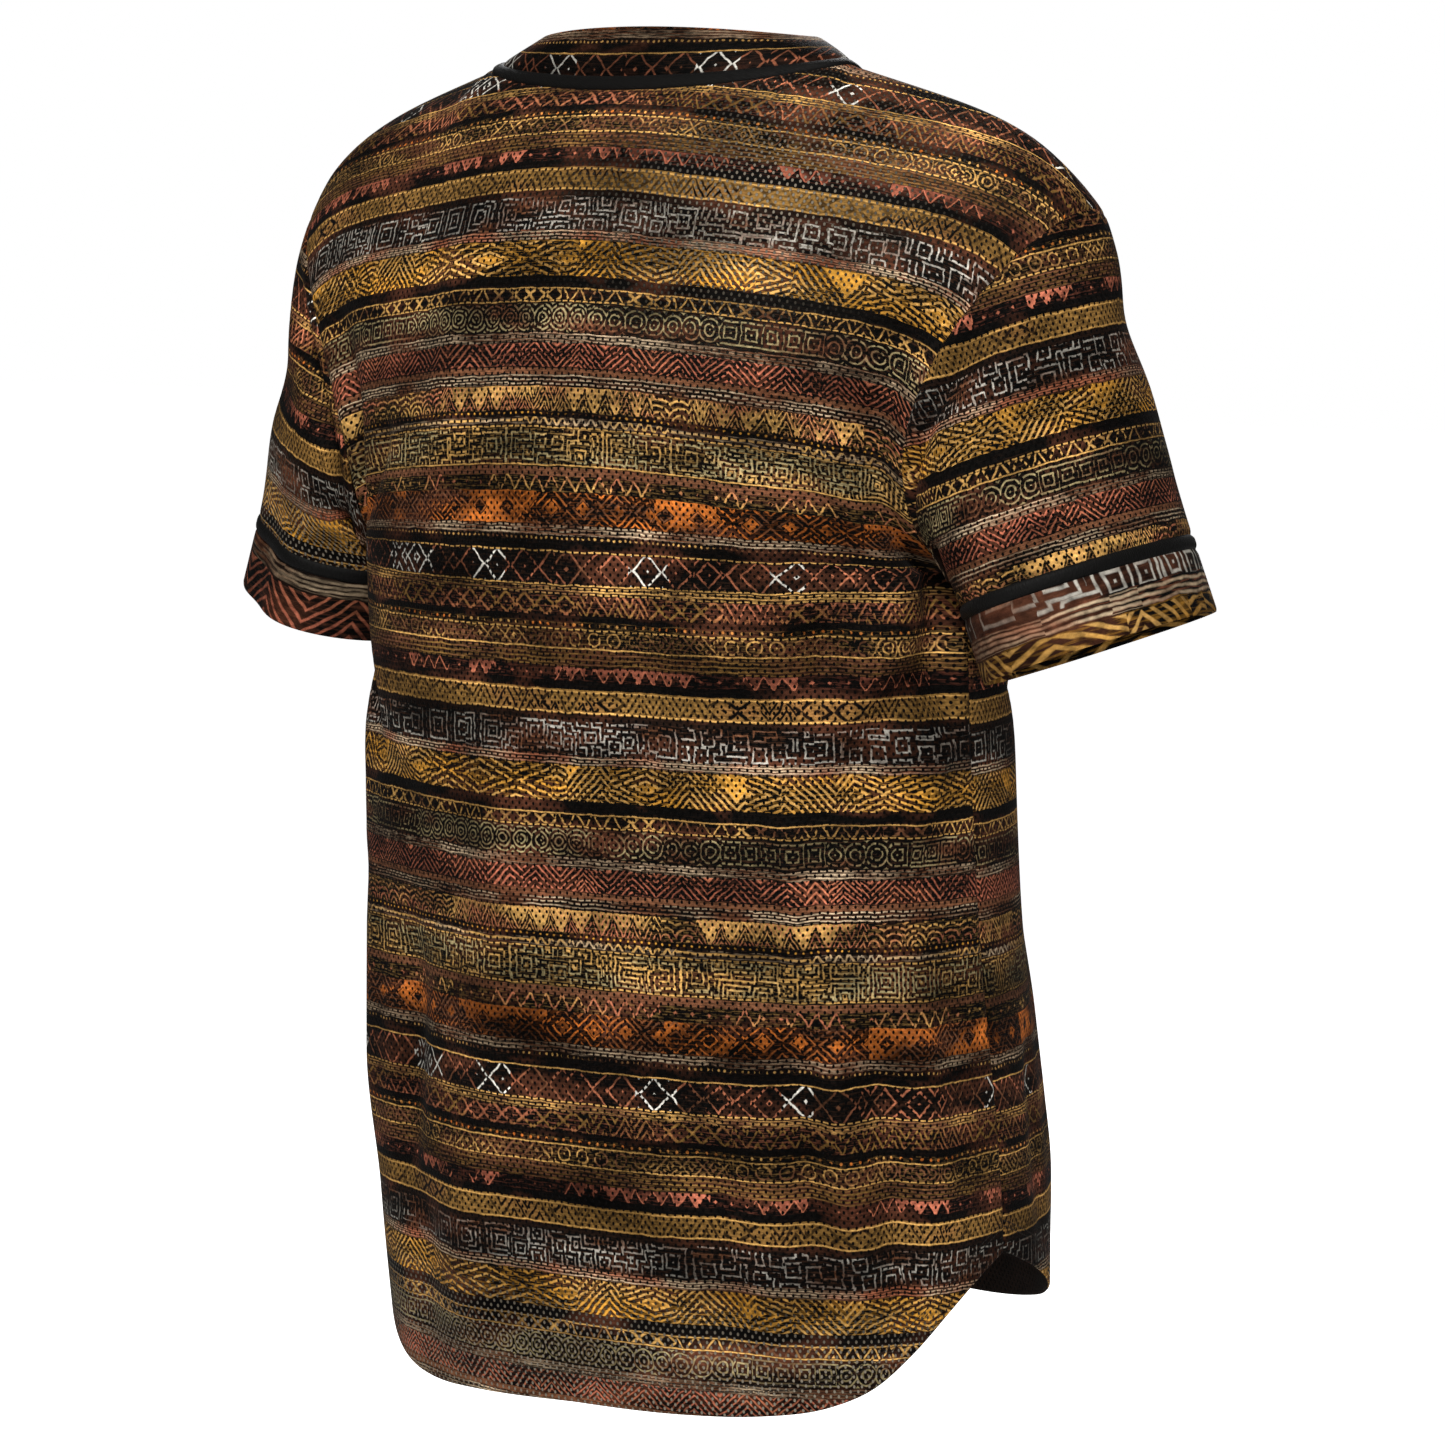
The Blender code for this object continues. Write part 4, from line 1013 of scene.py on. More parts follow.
def tube_maps(plain, shift, edge_up, start_up):
    """UV places of a tube: u round it from its outer side, v up from the sleeve's end."""
    loop = np.concatenate([plain, plain[:, :1]], axis=1)
    u = walked(loop, 1)
    u = u - u[:, ROWS_CHEST : ROWS_CHEST + 1]
    up = start_up + (walked(loop, 0)[-1:] - walked(loop, 0))
    cloth = np.stack([u + shift[0], up + shift[1]], -1)
    return cloth, np.stack([u, up + edge_up], -1)


def trim_strip(name, node, low, high, low_normals, high_normals, sizes, finishes, flip=1.0, closed=False):
    """A folded strip of piping between two lines, its face domed."""
    shares = np.linspace(0.0, 1.0, PIPING_ROWS + 1)[:, None, None]
    flat = low + (high - low) * shares
    normals = unit(low_normals + (high_normals - low_normals) * shares)
    groove = sizes.seam_dip * np.cos(math.pi * shares) ** 8
    dome = np.sin(math.pi * shares) ** 0.6 * sizes.piping_bulge - groove
    outer = (flat + normals * dome) * flip
    inner = (flat - normals * PIPING_WALL) * flip
    u = walked(np.concatenate([flat, flat[:, :1]], axis=1), 1)
    v = np.broadcast_to(shares[..., 0] * PIPING_WIDTH, u.shape)
    piece = shell_object(name, outer, inner, finishes, np.stack([u, v], -1), closed=closed)
    return keep(piece, node)


def make_sleeve(name, side, sizes, knit, band, piping):
    """One sleeve with its piping and band: side +1 the wearer's left, -1 the right."""
    flip = np.array((float(side), 1.0, 1.0))
    around = around_columns()
    plain, sleeve, sleeve_normals = sleeve_grid(side, sizes)
    heights = np.concatenate([[SLEEVE_BAND_WIDTH], np.linspace(32.0, 2.0, 14) * MM, [1.0 * MM, 0.0]])
    band_grid = np.stack([cuff_ring(around, height, side) for height in heights])
    band_normals = outward_normals(band_grid)
    low = cuff_ring(around, SLEEVE_BAND_WIDTH + PIPING_WIDTH, side)
    sleeve_normals[-1] = unit(sleeve_normals[-1] + band_normals[0])
    edges = (low, band_grid[0], sleeve_normals[-1], band_normals[0])
    names = (f"sleeve_piping_strip_{name}", f"sleeve_piping_{name}")
    trim = trim_strip(*names, *edges, sizes, piping, flip, closed=True)
    band_up = walked(band_grid, 0)
    band_face = band_grid + band_normals * seam_dip(band_up, sizes.seam_dip)[..., None]
    cloth, edge = tube_maps(band_grid, BAND_PRINT_SHIFT[side], 0.0, 0.0)
    outer, inner = rounded(band_face, band_face - band_normals * sizes.band_wall, ("top",))
    cuff = shell_object(f"sleeve_end_{name}", outer * flip, inner * flip, band, cloth, edge, closed=True)
    keep(cuff, f"sleeve_band_{name}")

    cloth, edge = tube_maps(plain, SLEEVE_PRINT_SHIFT[side], 1.0, SLEEVE_BAND_WIDTH + PIPING_WIDTH)
    wall = sleeve - sleeve_normals * sizes.cloth_wall
    piece = shell_object(f"sleeve_{name}_cloth", sleeve * flip, wall * flip, knit, cloth, edge, closed=True)
    # Painted daylight in the eyelets of the lower sleeve
    light_behind(piece, smooth((sleeve_places()[1] - 0.45) / 0.4) * SLEEVE_LIGHT[side])
    keep(piece, f"sleeve_{name}")


def neck_turns():
    """Turns from the under end at the centre front, round the back, to the over end."""
    quarter = np.linspace(0.0, math.pi / 2, COLUMNS_NECK + 1)
    extra = math.pi + math.asin(OVERLAP_HALF / NECK_SEAM.half) * np.array((0.35, 0.7, 0.95, 1.0))
    half = np.concatenate([quarter, quarter[1:] + math.pi / 2, extra])
    return np.concatenate([-half[:0:-1], half])


def make_neck(sizes, band, piping):
    behind = np.array(0.0)
    height = np.linalg.norm(neck_ring(behind, BAND_TOP) - neck_ring(behind, NECK_SEAM))
    piping_share = PIPING_WIDTH / height
    rows = np.concatenate([np.linspace(piping_share, 0.97, 14), [0.985, 1.0]])
    normal = neck_normals()
    grid = np.stack([neck_strip(share) for share in rows])
    normals = np.broadcast_to(normal, grid.shape)
    up = walked(grid, 0)
    swell = BAND_SWELL * np.sin(math.pi * up / up[-1:])
    face = grid + normals * (seam_dip(up, sizes.seam_dip) + swell)[..., None]
    outer, inner = rounded(face, face - normals * sizes.band_wall, ("top", "first", "last"))
    u = walked(grid, 1)
    u = u - u[:, u.shape[1] // 2 : u.shape[1] // 2 + 1]
    cloth = np.stack([u, up + NECK_PRINT_SHIFT], -1)
    piece = shell_object("neckband_strip", outer, inner, band, cloth)
    keep(piece, "neckband")
    edges = (neck_strip(0.0), neck_strip(piping_share), seam_normals()[3], normal)
    trim = trim_strip("neck_piping_strip", "neck_piping", *edges, sizes, piping)


def linear(code):
    """The linear colour of an sRGB hex value."""
    parts = [int(code[k : k + 2], 16) / 255.0 for k in (1, 3, 5)]
    return tuple(c / 12.92 if c <= 0.04045 else ((c + 0.055) / 1.055) ** 2.4 for c in parts)


MATH = "ShaderNodeMath"
VECTOR = "ShaderNodeVectorMath"
COMBINE = "ShaderNodeCombineXYZ"
SPLIT = "ShaderNodeSeparateXYZ"
MIX = "ShaderNodeMixRGB"
NOISE = "ShaderNodeTexNoise"
UV = "ShaderNodeUVMap"


def add(tree, kind, inputs=(), **settings):
    """Adds a node with its settings. inputs, in order or by name, are values, or what feeds the sockets."""
    made = tree.nodes.new(kind)
    for name, value in settings.items():
        setattr(made, name, value)
    for slot, value in inputs.items() if isinstance(inputs, dict) else enumerate(inputs):
        if isinstance(value, bpy.types.Node):
            value = value.outputs[0]
        if isinstance(value, bpy.types.NodeSocket):
            tree.links.new(value, made.inputs[slot])
        else:
            made.inputs[slot].default_value = value
    return made


def new_material(name):
    made = bpy.data.materials.new(name)
    made.use_nodes = True
    made.node_tree.nodes.clear()
    return made, made.node_tree


# The print's patterns, in mm on the cloth: along the bands, then up across them
STRETCH_MM = 58.0  # a motif may turn over, draw closer or change colour this often
ROW_SEED = 61.0  # sets the stretches of each band apart from its neighbours'
PATCH_MM = (46.0, 17.0)
STREAK_MM = (9.0, 0.9)
FLECK_MM = (3.2, 2.2)
CLOUD_MM = (88.0, 42.0)
INK_EDGE = 2.4  # a drawn edge turns from ground to ink at this rate, per mm
EYELET_EDGE = 4.5  # and an eyelet's edge at this one
EYELET_TALL = 1.35  # an eyelet's height against its width
DRAWN_CLOSER = 0.24  # the share by which the lines of some stretches lie closer
SIDE_LINE = 0.95  # from a band's side to the middle of its thin line
WARM_SHARE = 0.2  # how much rust runs into the grounds
YARN_SHARE = 0.55  # how much of the second colour the streaks show

# A colour ramp holds 0 to 1, so sizes are divided by these ranges for it, and multiplied again behind it
TABLE_ROWS = 255.0
SIZE_RANGE = 64.0
PERIOD_RANGE = 128.0
LINE_RANGE = 8.0
LINE_OFFSET = 2.0  # bands without lines have a line of -1
FILL_OFFSET = 16.0  # bands without a fill have one of -9


def per_mm(size):
    """The scale that turns mm on the cloth into steps of a pattern."""
    return (1.0 / size[0], 1.0 / size[1], 0.0)


def fill_stops(node, colours):
    """Makes a colour ramp a lookup table with one step for each band of the print."""
    ramp = node.color_ramp
    ramp.interpolation = "CONSTANT"
    start = 0
    for number, (band, colour) in enumerate(zip(BANDS, colours)):
        place = max(0.0, (start - 0.5) / TABLE_ROWS)
        stop = ramp.elements[0] if number == 0 else ramp.elements.new(place)
        stop.position = place
        stop.color = colour
        start += band.rows
    ramp.elements.remove(ramp.elements[-1])


def band_tables(repeat_mm, inks):
    """What each band gives the material, scaled into 0 to 1: places, lines, looks, weights and colours."""
    starts = np.cumsum([0] + [band.rows for band in BANDS])[:-1]
    places, lines, looks, weights, others = [], [], [], [], []
    for band, start in zip(BANDS, starts):
        height = band.rows / TABLE_ROWS * repeat_mm
        wide = 4.0 / band.period if band.motif == "zigzag" else 2.0 / band.period
        slope = 1.0 / math.hypot(wide, 2.0 / height)
        places.append(
            (start / TABLE_ROWS, height / SIZE_RANGE, band.period / PERIOD_RANGE, slope / SIZE_RANGE)
        )
        line = (band.line + LINE_OFFSET) / LINE_RANGE
        fill = (band.fill + FILL_OFFSET) / SIZE_RANGE
        lines.append((band.spacing / SIZE_RANGE, line, fill, band.border))
        looks.append((band.accent, band.streak, 0.0, 1.0))
        weights.append([float(band.motif == motif) for motif in MOTIFS])
        others.append([float(band.other == motif) for motif in MOTIFS])
    chosen = [[(*row[k : k + 3], 1.0) for row in rows] for rows in (weights, others) for k in (0, 3, 6)]
    colours = [[inks[getattr(band, part)] for band in BANDS] for part in ("ground", "ink", "second")]
    return [places, lines, looks, *chosen, *colours]


def drawn_place(tree, on_cloth, repeat):
    """Where a point lies on the print, with lines that wander a little as if drawn by hand.

    Returns u and v in mm, and the share of the way up the repeat.
    """
    wander = add(tree, NOISE, {"Vector": on_cloth, "Scale": 0.11, "Detail": 2.0})
    wander = add(tree, VECTOR, (wander.outputs[1], (-0.5,) * 3), operation="ADD")
    wander = add(tree, VECTOR, (wander, (2.2 * HAND_MM, 1.2 * HAND_MM, 0.0)), operation="MULTIPLY")
    drawn = add(tree, SPLIT, (add(tree, VECTOR, (on_cloth, wander), operation="ADD"),))
    u, v = drawn.outputs[0], drawn.outputs[1]
    turns = add(tree, MATH, (v, 1.0 / repeat, 8.0), operation="MULTIPLY_ADD")
    return u, v, add(tree, MATH, (turns,), operation="FRACT")


def motif_reach(tree, u, v, a, b, down, slope, over, weights):
    """How far a point lies from its motif's middle, whichever motif its band has there.

    a is from the motif's middle along the band, b from the band's middle; each comes with its share.
    """
    (a, a_share), (b, b_size, b_share, b_share_size) = a, b
    zigzag = add(tree, MATH, (a_share, 2.0, -1.0), operation="MULTIPLY_ADD")
    zigzag = add(tree, MATH, (zigzag, b_share), operation="SUBTRACT")
    zigzag = add(tree, MATH, (zigzag, slope), operation="MULTIPLY")
    lozenge = add(tree, MATH, (a_share, b_share_size), operation="ADD")
    lozenge = add(tree, MATH, (lozenge, slope), operation="MULTIPLY")
    cross = add(tree, MATH, (a_share, b_share_size), operation="SUBTRACT")
    cross = add(tree, MATH, (cross, slope), operation="MULTIPLY")
    ring = add(tree, VECTOR, (add(tree, COMBINE, (a, b)),), operation="LENGTH").outputs[1]
    foot = add(tree, MATH, (b, down), operation="SUBTRACT")
    arch = add(tree, VECTOR, (add(tree, COMBINE, (a, foot)),), operation="LENGTH").outputs[1]
    square = add(tree, MATH, (a, b_size), operation="MAXIMUM")
    cell_at = {"Vector": add(tree, COMBINE, (u, v)), "Scale": 1.0 / CELL_MM, "Randomness": 0.85}
    cell = add(tree, "ShaderNodeTexVoronoi", cell_at, voronoi_dimensions="2D", distance="CHEBYCHEV")
    cell_mm = add(tree, MATH, (cell, CELL_MM), operation="MULTIPLY")
    hatch = add(tree, MATH, (a, b), operation="ADD")
    hatch = add(tree, MATH, (hatch, 0.707), operation="MULTIPLY")
    reach = 0.0
    kinds = ((zigzag, lozenge, cross), (ring, arch, square), (cell_mm, b_size, hatch))
    for first, other, parts in zip(weights[:3], weights[3:], kinds):
        parts = add(tree, COMBINE, parts)
        either = add(tree, MIX, (over, first, other))
        chosen = add(tree, VECTOR, (parts, either), operation="DOT_PRODUCT").outputs[1]
        reach = add(tree, MATH, (chosen, reach), operation="ADD")
    return reach


def print_nodes(tree, sizes, inks, scale):
    """The print: a level stack of bands, each filled with its own drawn motif. Returns its colour."""
    repeat = sizes.print_repeat / MM
    cloth = add(tree, UV, uv_map="Cloth")
    on_cloth = add(tree, VECTOR, (cloth, (1000.0 / scale,) * 3), operation="MULTIPLY")
    u, v, place = drawn_place(tree, on_cloth, repeat)
    tables = []
    for colours in band_tables(repeat, inks):
        tables.append(add(tree, "ShaderNodeValToRGB", (place,)))
        fill_stops(tables[-1], colours)
    places, lines, looks, *weights, ground, ink, second = tables
    places_rgb = add(tree, SPLIT, (places,))
    lines_rgb = add(tree, SPLIT, (lines,))
    looks_rgb = add(tree, SPLIT, (looks,))
    start, tall, period = places_rgb.outputs
    slope = add(tree, MATH, (places.outputs[1], SIZE_RANGE), operation="MULTIPLY")
    half_down = add(tree, MATH, (tall, -SIZE_RANGE / 2.0), operation="MULTIPLY")
    half_period = add(tree, MATH, (period, PERIOD_RANGE / 2.0), operation="MULTIPLY")
    spacing = add(tree, MATH, (lines_rgb.outputs[0], SIZE_RANGE), operation="MULTIPLY")
    line = add(tree, MATH, (lines_rgb.outputs[1], LINE_RANGE, -LINE_OFFSET), operation="MULTIPLY_ADD")
    fill = add(tree, MATH, (lines_rgb.outputs[2], SIZE_RANGE, -FILL_OFFSET), operation="MULTIPLY_ADD")
    border = lines.outputs[1]

    # Stretches along each band, in which the motif turns over, draws closer or changes colour
    row_seed = add(tree, MATH, (start, ROW_SEED), operation="MULTIPLY")
    stretch_u = add(tree, MATH, (u, 1.0 / STRETCH_MM), operation="MULTIPLY")
    stretch_at = add(tree, COMBINE, (stretch_u, row_seed))
    stretch = add(tree, NOISE, {"Vector": stretch_at, "Scale": 1.0, "Detail": 1.0})
    stretches = add(tree, SPLIT, (stretch.outputs[1],))
    over = add(tree, MATH, (stretches.outputs[0], 0.5), operation="GREATER_THAN")
    over_sign = add(tree, MATH, (over, -2.0, 1.0), operation="MULTIPLY_ADD")
    close = add(tree, MATH, (stretches.outputs[1], 0.53), operation="GREATER_THAN")
    close_share = add(tree, MATH, (close, -DRAWN_CLOSER, 1.0), operation="MULTIPLY_ADD")
    spacing = add(tree, MATH, (spacing, close_share), operation="MULTIPLY")

    # Where a point lies in its motif
    in_band = add(tree, MATH, (place, start), operation="SUBTRACT")
    b = add(tree, MATH, (in_band, repeat, half_down), operation="MULTIPLY_ADD")
    b = add(tree, MATH, (b, over_sign), operation="MULTIPLY")
    b_size = add(tree, MATH, (b,), operation="ABSOLUTE")
    b_share = add(tree, MATH, (b, half_down), operation="DIVIDE")
    b_share_size = add(tree, MATH, (b_share,), operation="ABSOLUTE")
    a = add(tree, MATH, (u, half_period), operation="PINGPONG")
    a_share = add(tree, MATH, (a, half_period), operation="DIVIDE")
    along, across = (a, a_share), (b, b_size, b_share, b_share_size)
    reach = motif_reach(tree, u, v, along, across, half_down, slope, over, weights)

    half_spacing = add(tree, MATH, (spacing, 0.5), operation="MULTIPLY")
    off_line = add(tree, MATH, (reach, half_spacing), operation="PINGPONG")
    on_line = add(tree, MATH, (line, off_line), operation="SUBTRACT")
    on_line = add(tree, MATH, (on_line, INK_EDGE, 0.5), operation="MULTIPLY_ADD", use_clamp=True)
    in_fill = add(tree, MATH, (fill, reach), operation="SUBTRACT")
    in_fill = add(tree, MATH, (in_fill, INK_EDGE, 0.5), operation="MULTIPLY_ADD", use_clamp=True)

    # The thin line along both sides of a bordered band, and the dark gap between bands
    from_side = add(tree, MATH, (half_down, b_size), operation="ADD")
    side_mm = add(tree, MATH, (from_side, -1.0), operation="MULTIPLY")
    side_line = add(tree, MATH, (side_mm, SIDE_LINE), operation="SUBTRACT")
    side_line = add(tree, MATH, (side_line,), operation="ABSOLUTE")
    side_line = add(tree, MATH, (side_line, -INK_EDGE, 1.4), operation="MULTIPLY_ADD", use_clamp=True)
    side_line = add(tree, MATH, (side_line, border), operation="MULTIPLY")
    clear = add(tree, MATH, (border, -1.5, -0.2), operation="MULTIPLY_ADD")
    clear = add(tree, MATH, (side_mm, clear), operation="ADD")
    clear = add(tree, MATH, (clear, INK_EDGE, 0.5), operation="MULTIPLY_ADD", use_clamp=True)
    on_line = add(tree, MATH, (on_line, clear), operation="MULTIPLY")
    in_fill = add(tree, MATH, (in_fill, clear), operation="MULTIPLY")
    looks = (stretches.outputs[2], *looks_rgb.outputs[:2])
    return dyed(tree, on_cloth, (on_line, in_fill, side_line), looks, (ground, ink, second), inks)


def dyed(tree, on_cloth, marks, looks, band_inks, inks):
    """The print's colour: grounds, fills and lines in each band's inks, uneven as sublimated dye is."""
    on_line, in_fill, side_line = marks
    stretch, accent, streaky = looks
    ground, ink, second = band_inks

    # Dyes run into each other in long soft patches, and yarns show as streaks along the bands
    patch_at = add(tree, VECTOR, (on_cloth, per_mm(PATCH_MM)), operation="MULTIPLY")
    patch = add(tree, NOISE, {"Vector": patch_at, "Scale": 1.0, "Detail": 2.5})
    patches = add(tree, SPLIT, (patch.outputs[1],)).outputs
    streak_at = add(tree, VECTOR, (on_cloth, per_mm(STREAK_MM)), operation="MULTIPLY")
    streak = add(tree, NOISE, {"Vector": streak_at, "Scale": 1.0, "Detail": 2.0})
    mixed_ink = add(tree, MATH, (patches[0], 6.0, -2.7), operation="MULTIPLY_ADD", use_clamp=True)
    inked = add(tree, MIX, (mixed_ink, ink, second))
    white = add(tree, MATH, (stretch, 0.55), operation="GREATER_THAN")
    white = add(tree, MATH, (white, accent), operation="MULTIPLY")
    inked = add(tree, MIX, (white, inked, inks["bone"]))
    warm = add(tree, MATH, (patches[1], 5.0, -2.55), operation="MULTIPLY_ADD", use_clamp=True)
    warm = add(tree, MATH, (warm, WARM_SHARE), operation="MULTIPLY")
    base = add(tree, MIX, (warm, ground, inks["rust"]))
    yarn = add(tree, MATH, (streak, 7.0, -3.4), operation="MULTIPLY_ADD", use_clamp=True)
    yarn = add(tree, MATH, (yarn, streaky), operation="MULTIPLY")
    yarn = add(tree, MATH, (yarn, YARN_SHARE), operation="MULTIPLY")
    base = add(tree, MIX, (yarn, base, second))
    glow = add(tree, MATH, (patches[2], 4.0, -1.7), operation="MULTIPLY_ADD", use_clamp=True)
    in_fill = add(tree, MATH, (in_fill, glow), operation="MULTIPLY")
    coloured = add(tree, MIX, (in_fill, base, second))
    strength = add(tree, MATH, (patches[1], 3.6, -1.15), operation="MULTIPLY_ADD", use_clamp=True)
    strength = add(tree, MATH, (strength, 0.72, 0.28), operation="MULTIPLY_ADD")
    strength = add(tree, MATH, (strength, white), operation="MAXIMUM")
    on_line = add(tree, MATH, (on_line, strength), operation="MULTIPLY")
    coloured = add(tree, MIX, (on_line, coloured, inked))
    side_line = add(tree, MATH, (side_line, strength), operation="MULTIPLY")
    coloured = add(tree, MIX, (side_line, coloured, inks["gold"]))
    fleck_at = add(tree, VECTOR, (on_cloth, per_mm(FLECK_MM)), operation="MULTIPLY")
    fleck = add(tree, NOISE, {"Vector": fleck_at, "Scale": 1.0, "Detail": 2.0})
    # Dye sunk in open yarns gives back about two thirds as much light as on paper
    wear = add(tree, MATH, (fleck, 1.6, -0.14), operation="MULTIPLY_ADD")
    cloud_at = add(tree, VECTOR, (on_cloth, per_mm(CLOUD_MM)), operation="MULTIPLY")
    cloud = add(tree, NOISE, {"Vector": cloud_at, "Scale": 1.0, "Detail": 1.0})
    cloud = add(tree, MATH, (cloud, 2.8, -0.4), operation="MULTIPLY_ADD")
    wear = add(tree, MATH, (wear, cloud), operation="MULTIPLY")
    return add(tree, VECTOR, {0: coloured, "Scale": wear}, operation="SCALE")


def stitch_nodes(tree, sizes):
    """Two rows of thread along the turned hem, from the map of distances to a piece's folded edge."""
    edge = add(tree, SPLIT, (add(tree, UV, uv_map="Edge"),))
    off = add(tree, MATH, (edge.outputs[1], -HEM_TURN), operation="ADD")
    off = add(tree, MATH, (off,), operation="ABSOLUTE")
    off = add(tree, MATH, (off, -STITCH_ROW), operation="ADD")
    off = add(tree, MATH, (off,), operation="ABSOLUTE")
    near = add(tree, MATH, (off, -2600.0, 1.4), operation="MULTIPLY_ADD", use_clamp=True)
    step = add(tree, MATH, (edge.outputs[0], 1.0 / sizes.stitch_length), operation="MULTIPLY")
    step = add(tree, MATH, (step,), operation="FRACT")
    thread = add(tree, MATH, (step, 0.72), operation="LESS_THAN")
    return add(tree, MATH, (near, thread), operation="MULTIPLY")


def eyelet_nodes(tree, sizes):
    """The mesh knit's eyelets: staggered rows of small upright holes. 1 in a hole."""
    pitch, rows = sizes.eyelet_pitch / MM, sizes.eyelet_rows / MM / EYELET_TALL
    cloth = add(tree, SPLIT, (add(tree, UV, uv_map="Cloth"),))
    row = add(tree, MATH, (cloth.outputs[1], 1.0 / sizes.eyelet_rows, 500.0), operation="MULTIPLY_ADD")
    row_number = add(tree, MATH, (row,), operation="FLOOR")
    shift = add(tree, MATH, (row_number, 0.5), operation="MULTIPLY")
    place = (cloth.outputs[0], 1.0 / sizes.eyelet_pitch, shift)
    place = add(tree, MATH, place, operation="MULTIPLY_ADD")
    place = add(tree, MATH, (place,), operation="FRACT")
    across = add(tree, MATH, (place, pitch, -pitch / 2), operation="MULTIPLY_ADD")
    up = add(tree, MATH, (row,), operation="FRACT")
    up = add(tree, MATH, (up, rows, -rows / 2), operation="MULTIPLY_ADD")
    span = add(tree, COMBINE, (across, up))
    span = add(tree, VECTOR, (span,), operation="LENGTH").outputs[1]
    depth = add(tree, MATH, (sizes.eyelet_radius / MM, span), operation="SUBTRACT")
    return add(tree, MATH, (depth, EYELET_EDGE, 0.5), operation="MULTIPLY_ADD", use_clamp=True)


def finish_cloth(tree, colour, height, rough, sheen, specular):
    """Joins a cloth's colour and relief to its shader."""
    bump = add(tree, "ShaderNodeBump", {"Height": height, "Distance": 0.6 * MM, "Strength": 0.8})
    surface = {"Base Color": colour, "Roughness": rough, "Normal": bump, "Specular IOR Level": specular}
    surface.update({"Sheen Weight": sheen, "Sheen Roughness": 0.45})
    add(tree, "ShaderNodeOutputMaterial", (add(tree, "ShaderNodeBsdfPrincipled", surface),))


def mesh_knit(sizes, inks):
    """Eyelet mesh knit of polyester, dye-sublimated: dull, with the print sunk in it, and eyelets painted
    dark as shade, or pale as painted daylight where light is taken to be behind them.
    """
    made, tree = new_material("sublimated_polyester_mesh_knit")
    colour = print_nodes(tree, sizes, inks, 1.0)
    hole = eyelet_nodes(tree, sizes)
    # Painted light: where light_behind is set, the eyelets turn from painted shade to painted daylight
    lit = add(tree, "ShaderNodeAttribute", attribute_name="light_behind").outputs[2]
    behind = add(tree, MIX, (lit, inks["eyelet"], inks["daylight"]))
    colour = add(tree, MIX, (hole, colour, behind))
    stitch = stitch_nodes(tree, sizes)
    colour = add(tree, MIX, (stitch, colour, inks["thread"]))
    cloth = add(tree, UV, uv_map="Cloth")
    rough_at = add(tree, NOISE, {"Vector": cloth, "Scale": 900.0, "Detail": 2.0})
    height = add(tree, MATH, (hole, -1.0, rough_at), operation="MULTIPLY_ADD")
    height = add(tree, MATH, (stitch, 0.7, height), operation="MULTIPLY_ADD")
    rough = add(tree, MATH, (rough_at, 0.25, 0.58), operation="MULTIPLY_ADD")
    finish_cloth(tree, colour, height, rough, 0.01, 0.02)
    return made


def knit_reverse(sizes, inks):
    """The reverse of the same knit: hardly any dye shows, so it is plain; it is painted dark as the shade
    inside the shirt, with its eyelets.
    """
    made, tree = new_material("mesh_knit_reverse_painted_shade")
    hole = eyelet_nodes(tree, sizes)
    cloth = add(tree, UV, uv_map="Cloth")
    soft = add(tree, NOISE, {"Vector": cloth, "Scale": 60.0, "Detail": 3.0})
    # Coal and umber: the reverse is painted dark as the shade inside the shirt
    base = add(tree, MIX, (soft, inks["coal"], inks["umber"]))
    # The eyelets are painted shade here too
    colour = add(tree, MIX, (hole, base, inks["eyelet"]))
    fine = add(tree, NOISE, {"Vector": cloth, "Scale": 900.0, "Detail": 2.0})
    height = add(tree, MATH, (hole, -1.0, fine), operation="MULTIPLY_ADD")
    rough = add(tree, MATH, (fine, 0.2, 0.7), operation="MULTIPLY_ADD")
    finish_cloth(tree, colour, height, rough, 0.01, 0.02)
    return made


def woven_band(name, sizes, inks, scale, depth):
    """Plain-woven polyester of the neckband and sleeve ends: closed, its print at a scale of its own,
    darkened by depth as painted shade.
    """
    made, tree = new_material(name)
    colour = print_nodes(tree, sizes, inks, scale)
    # depth scales the print darker as painted shade: 0.5 on the neckband, 0.85 on the sleeve ends
    colour = add(tree, VECTOR, {0: colour, "Scale": depth}, operation="SCALE")
    cloth = add(tree, UV, uv_map="Cloth")
    # Threads 0.45 mm apart, drawn at 0.9 mm so that they show
    weave_at = add(tree, VECTOR, (cloth, (1.0 / (0.9 * MM),) * 3), operation="MULTIPLY")
    weave = add(tree, "ShaderNodeTexChecker", {"Vector": weave_at, "Scale": 1.0}).outputs[1]
    fine = add(tree, NOISE, {"Vector": cloth, "Scale": 700.0, "Detail": 2.0})
    height = add(tree, MATH, (weave, 0.35, fine), operation="MULTIPLY_ADD")
    rough = add(tree, MATH, (fine, 0.25, 0.52), operation="MULTIPLY_ADD")
    finish_cloth(tree, colour, height, rough, 0.01, 0.03)
    return made


def piping_tape(inks):
    """Folded polyester piping tape: smooth dull black, with a fine rib across it."""
    made, tree = new_material("black_polyester_piping_tape")
    cloth = add(tree, UV, uv_map="Cloth")
    stretched = add(tree, VECTOR, (cloth, (1400.0, 300.0, 0.0)), operation="MULTIPLY")
    rib = add(tree, NOISE, {"Vector": stretched, "Scale": 1.0, "Detail": 2.0})
    colour = add(tree, MIX, (rib, inks["piping"], inks["coal"]))
    rough = add(tree, MATH, (rib, 0.2, 0.5), operation="MULTIPLY_ADD")
    finish_cloth(tree, colour, rib, rough, 0.01, 0.07)
    return made


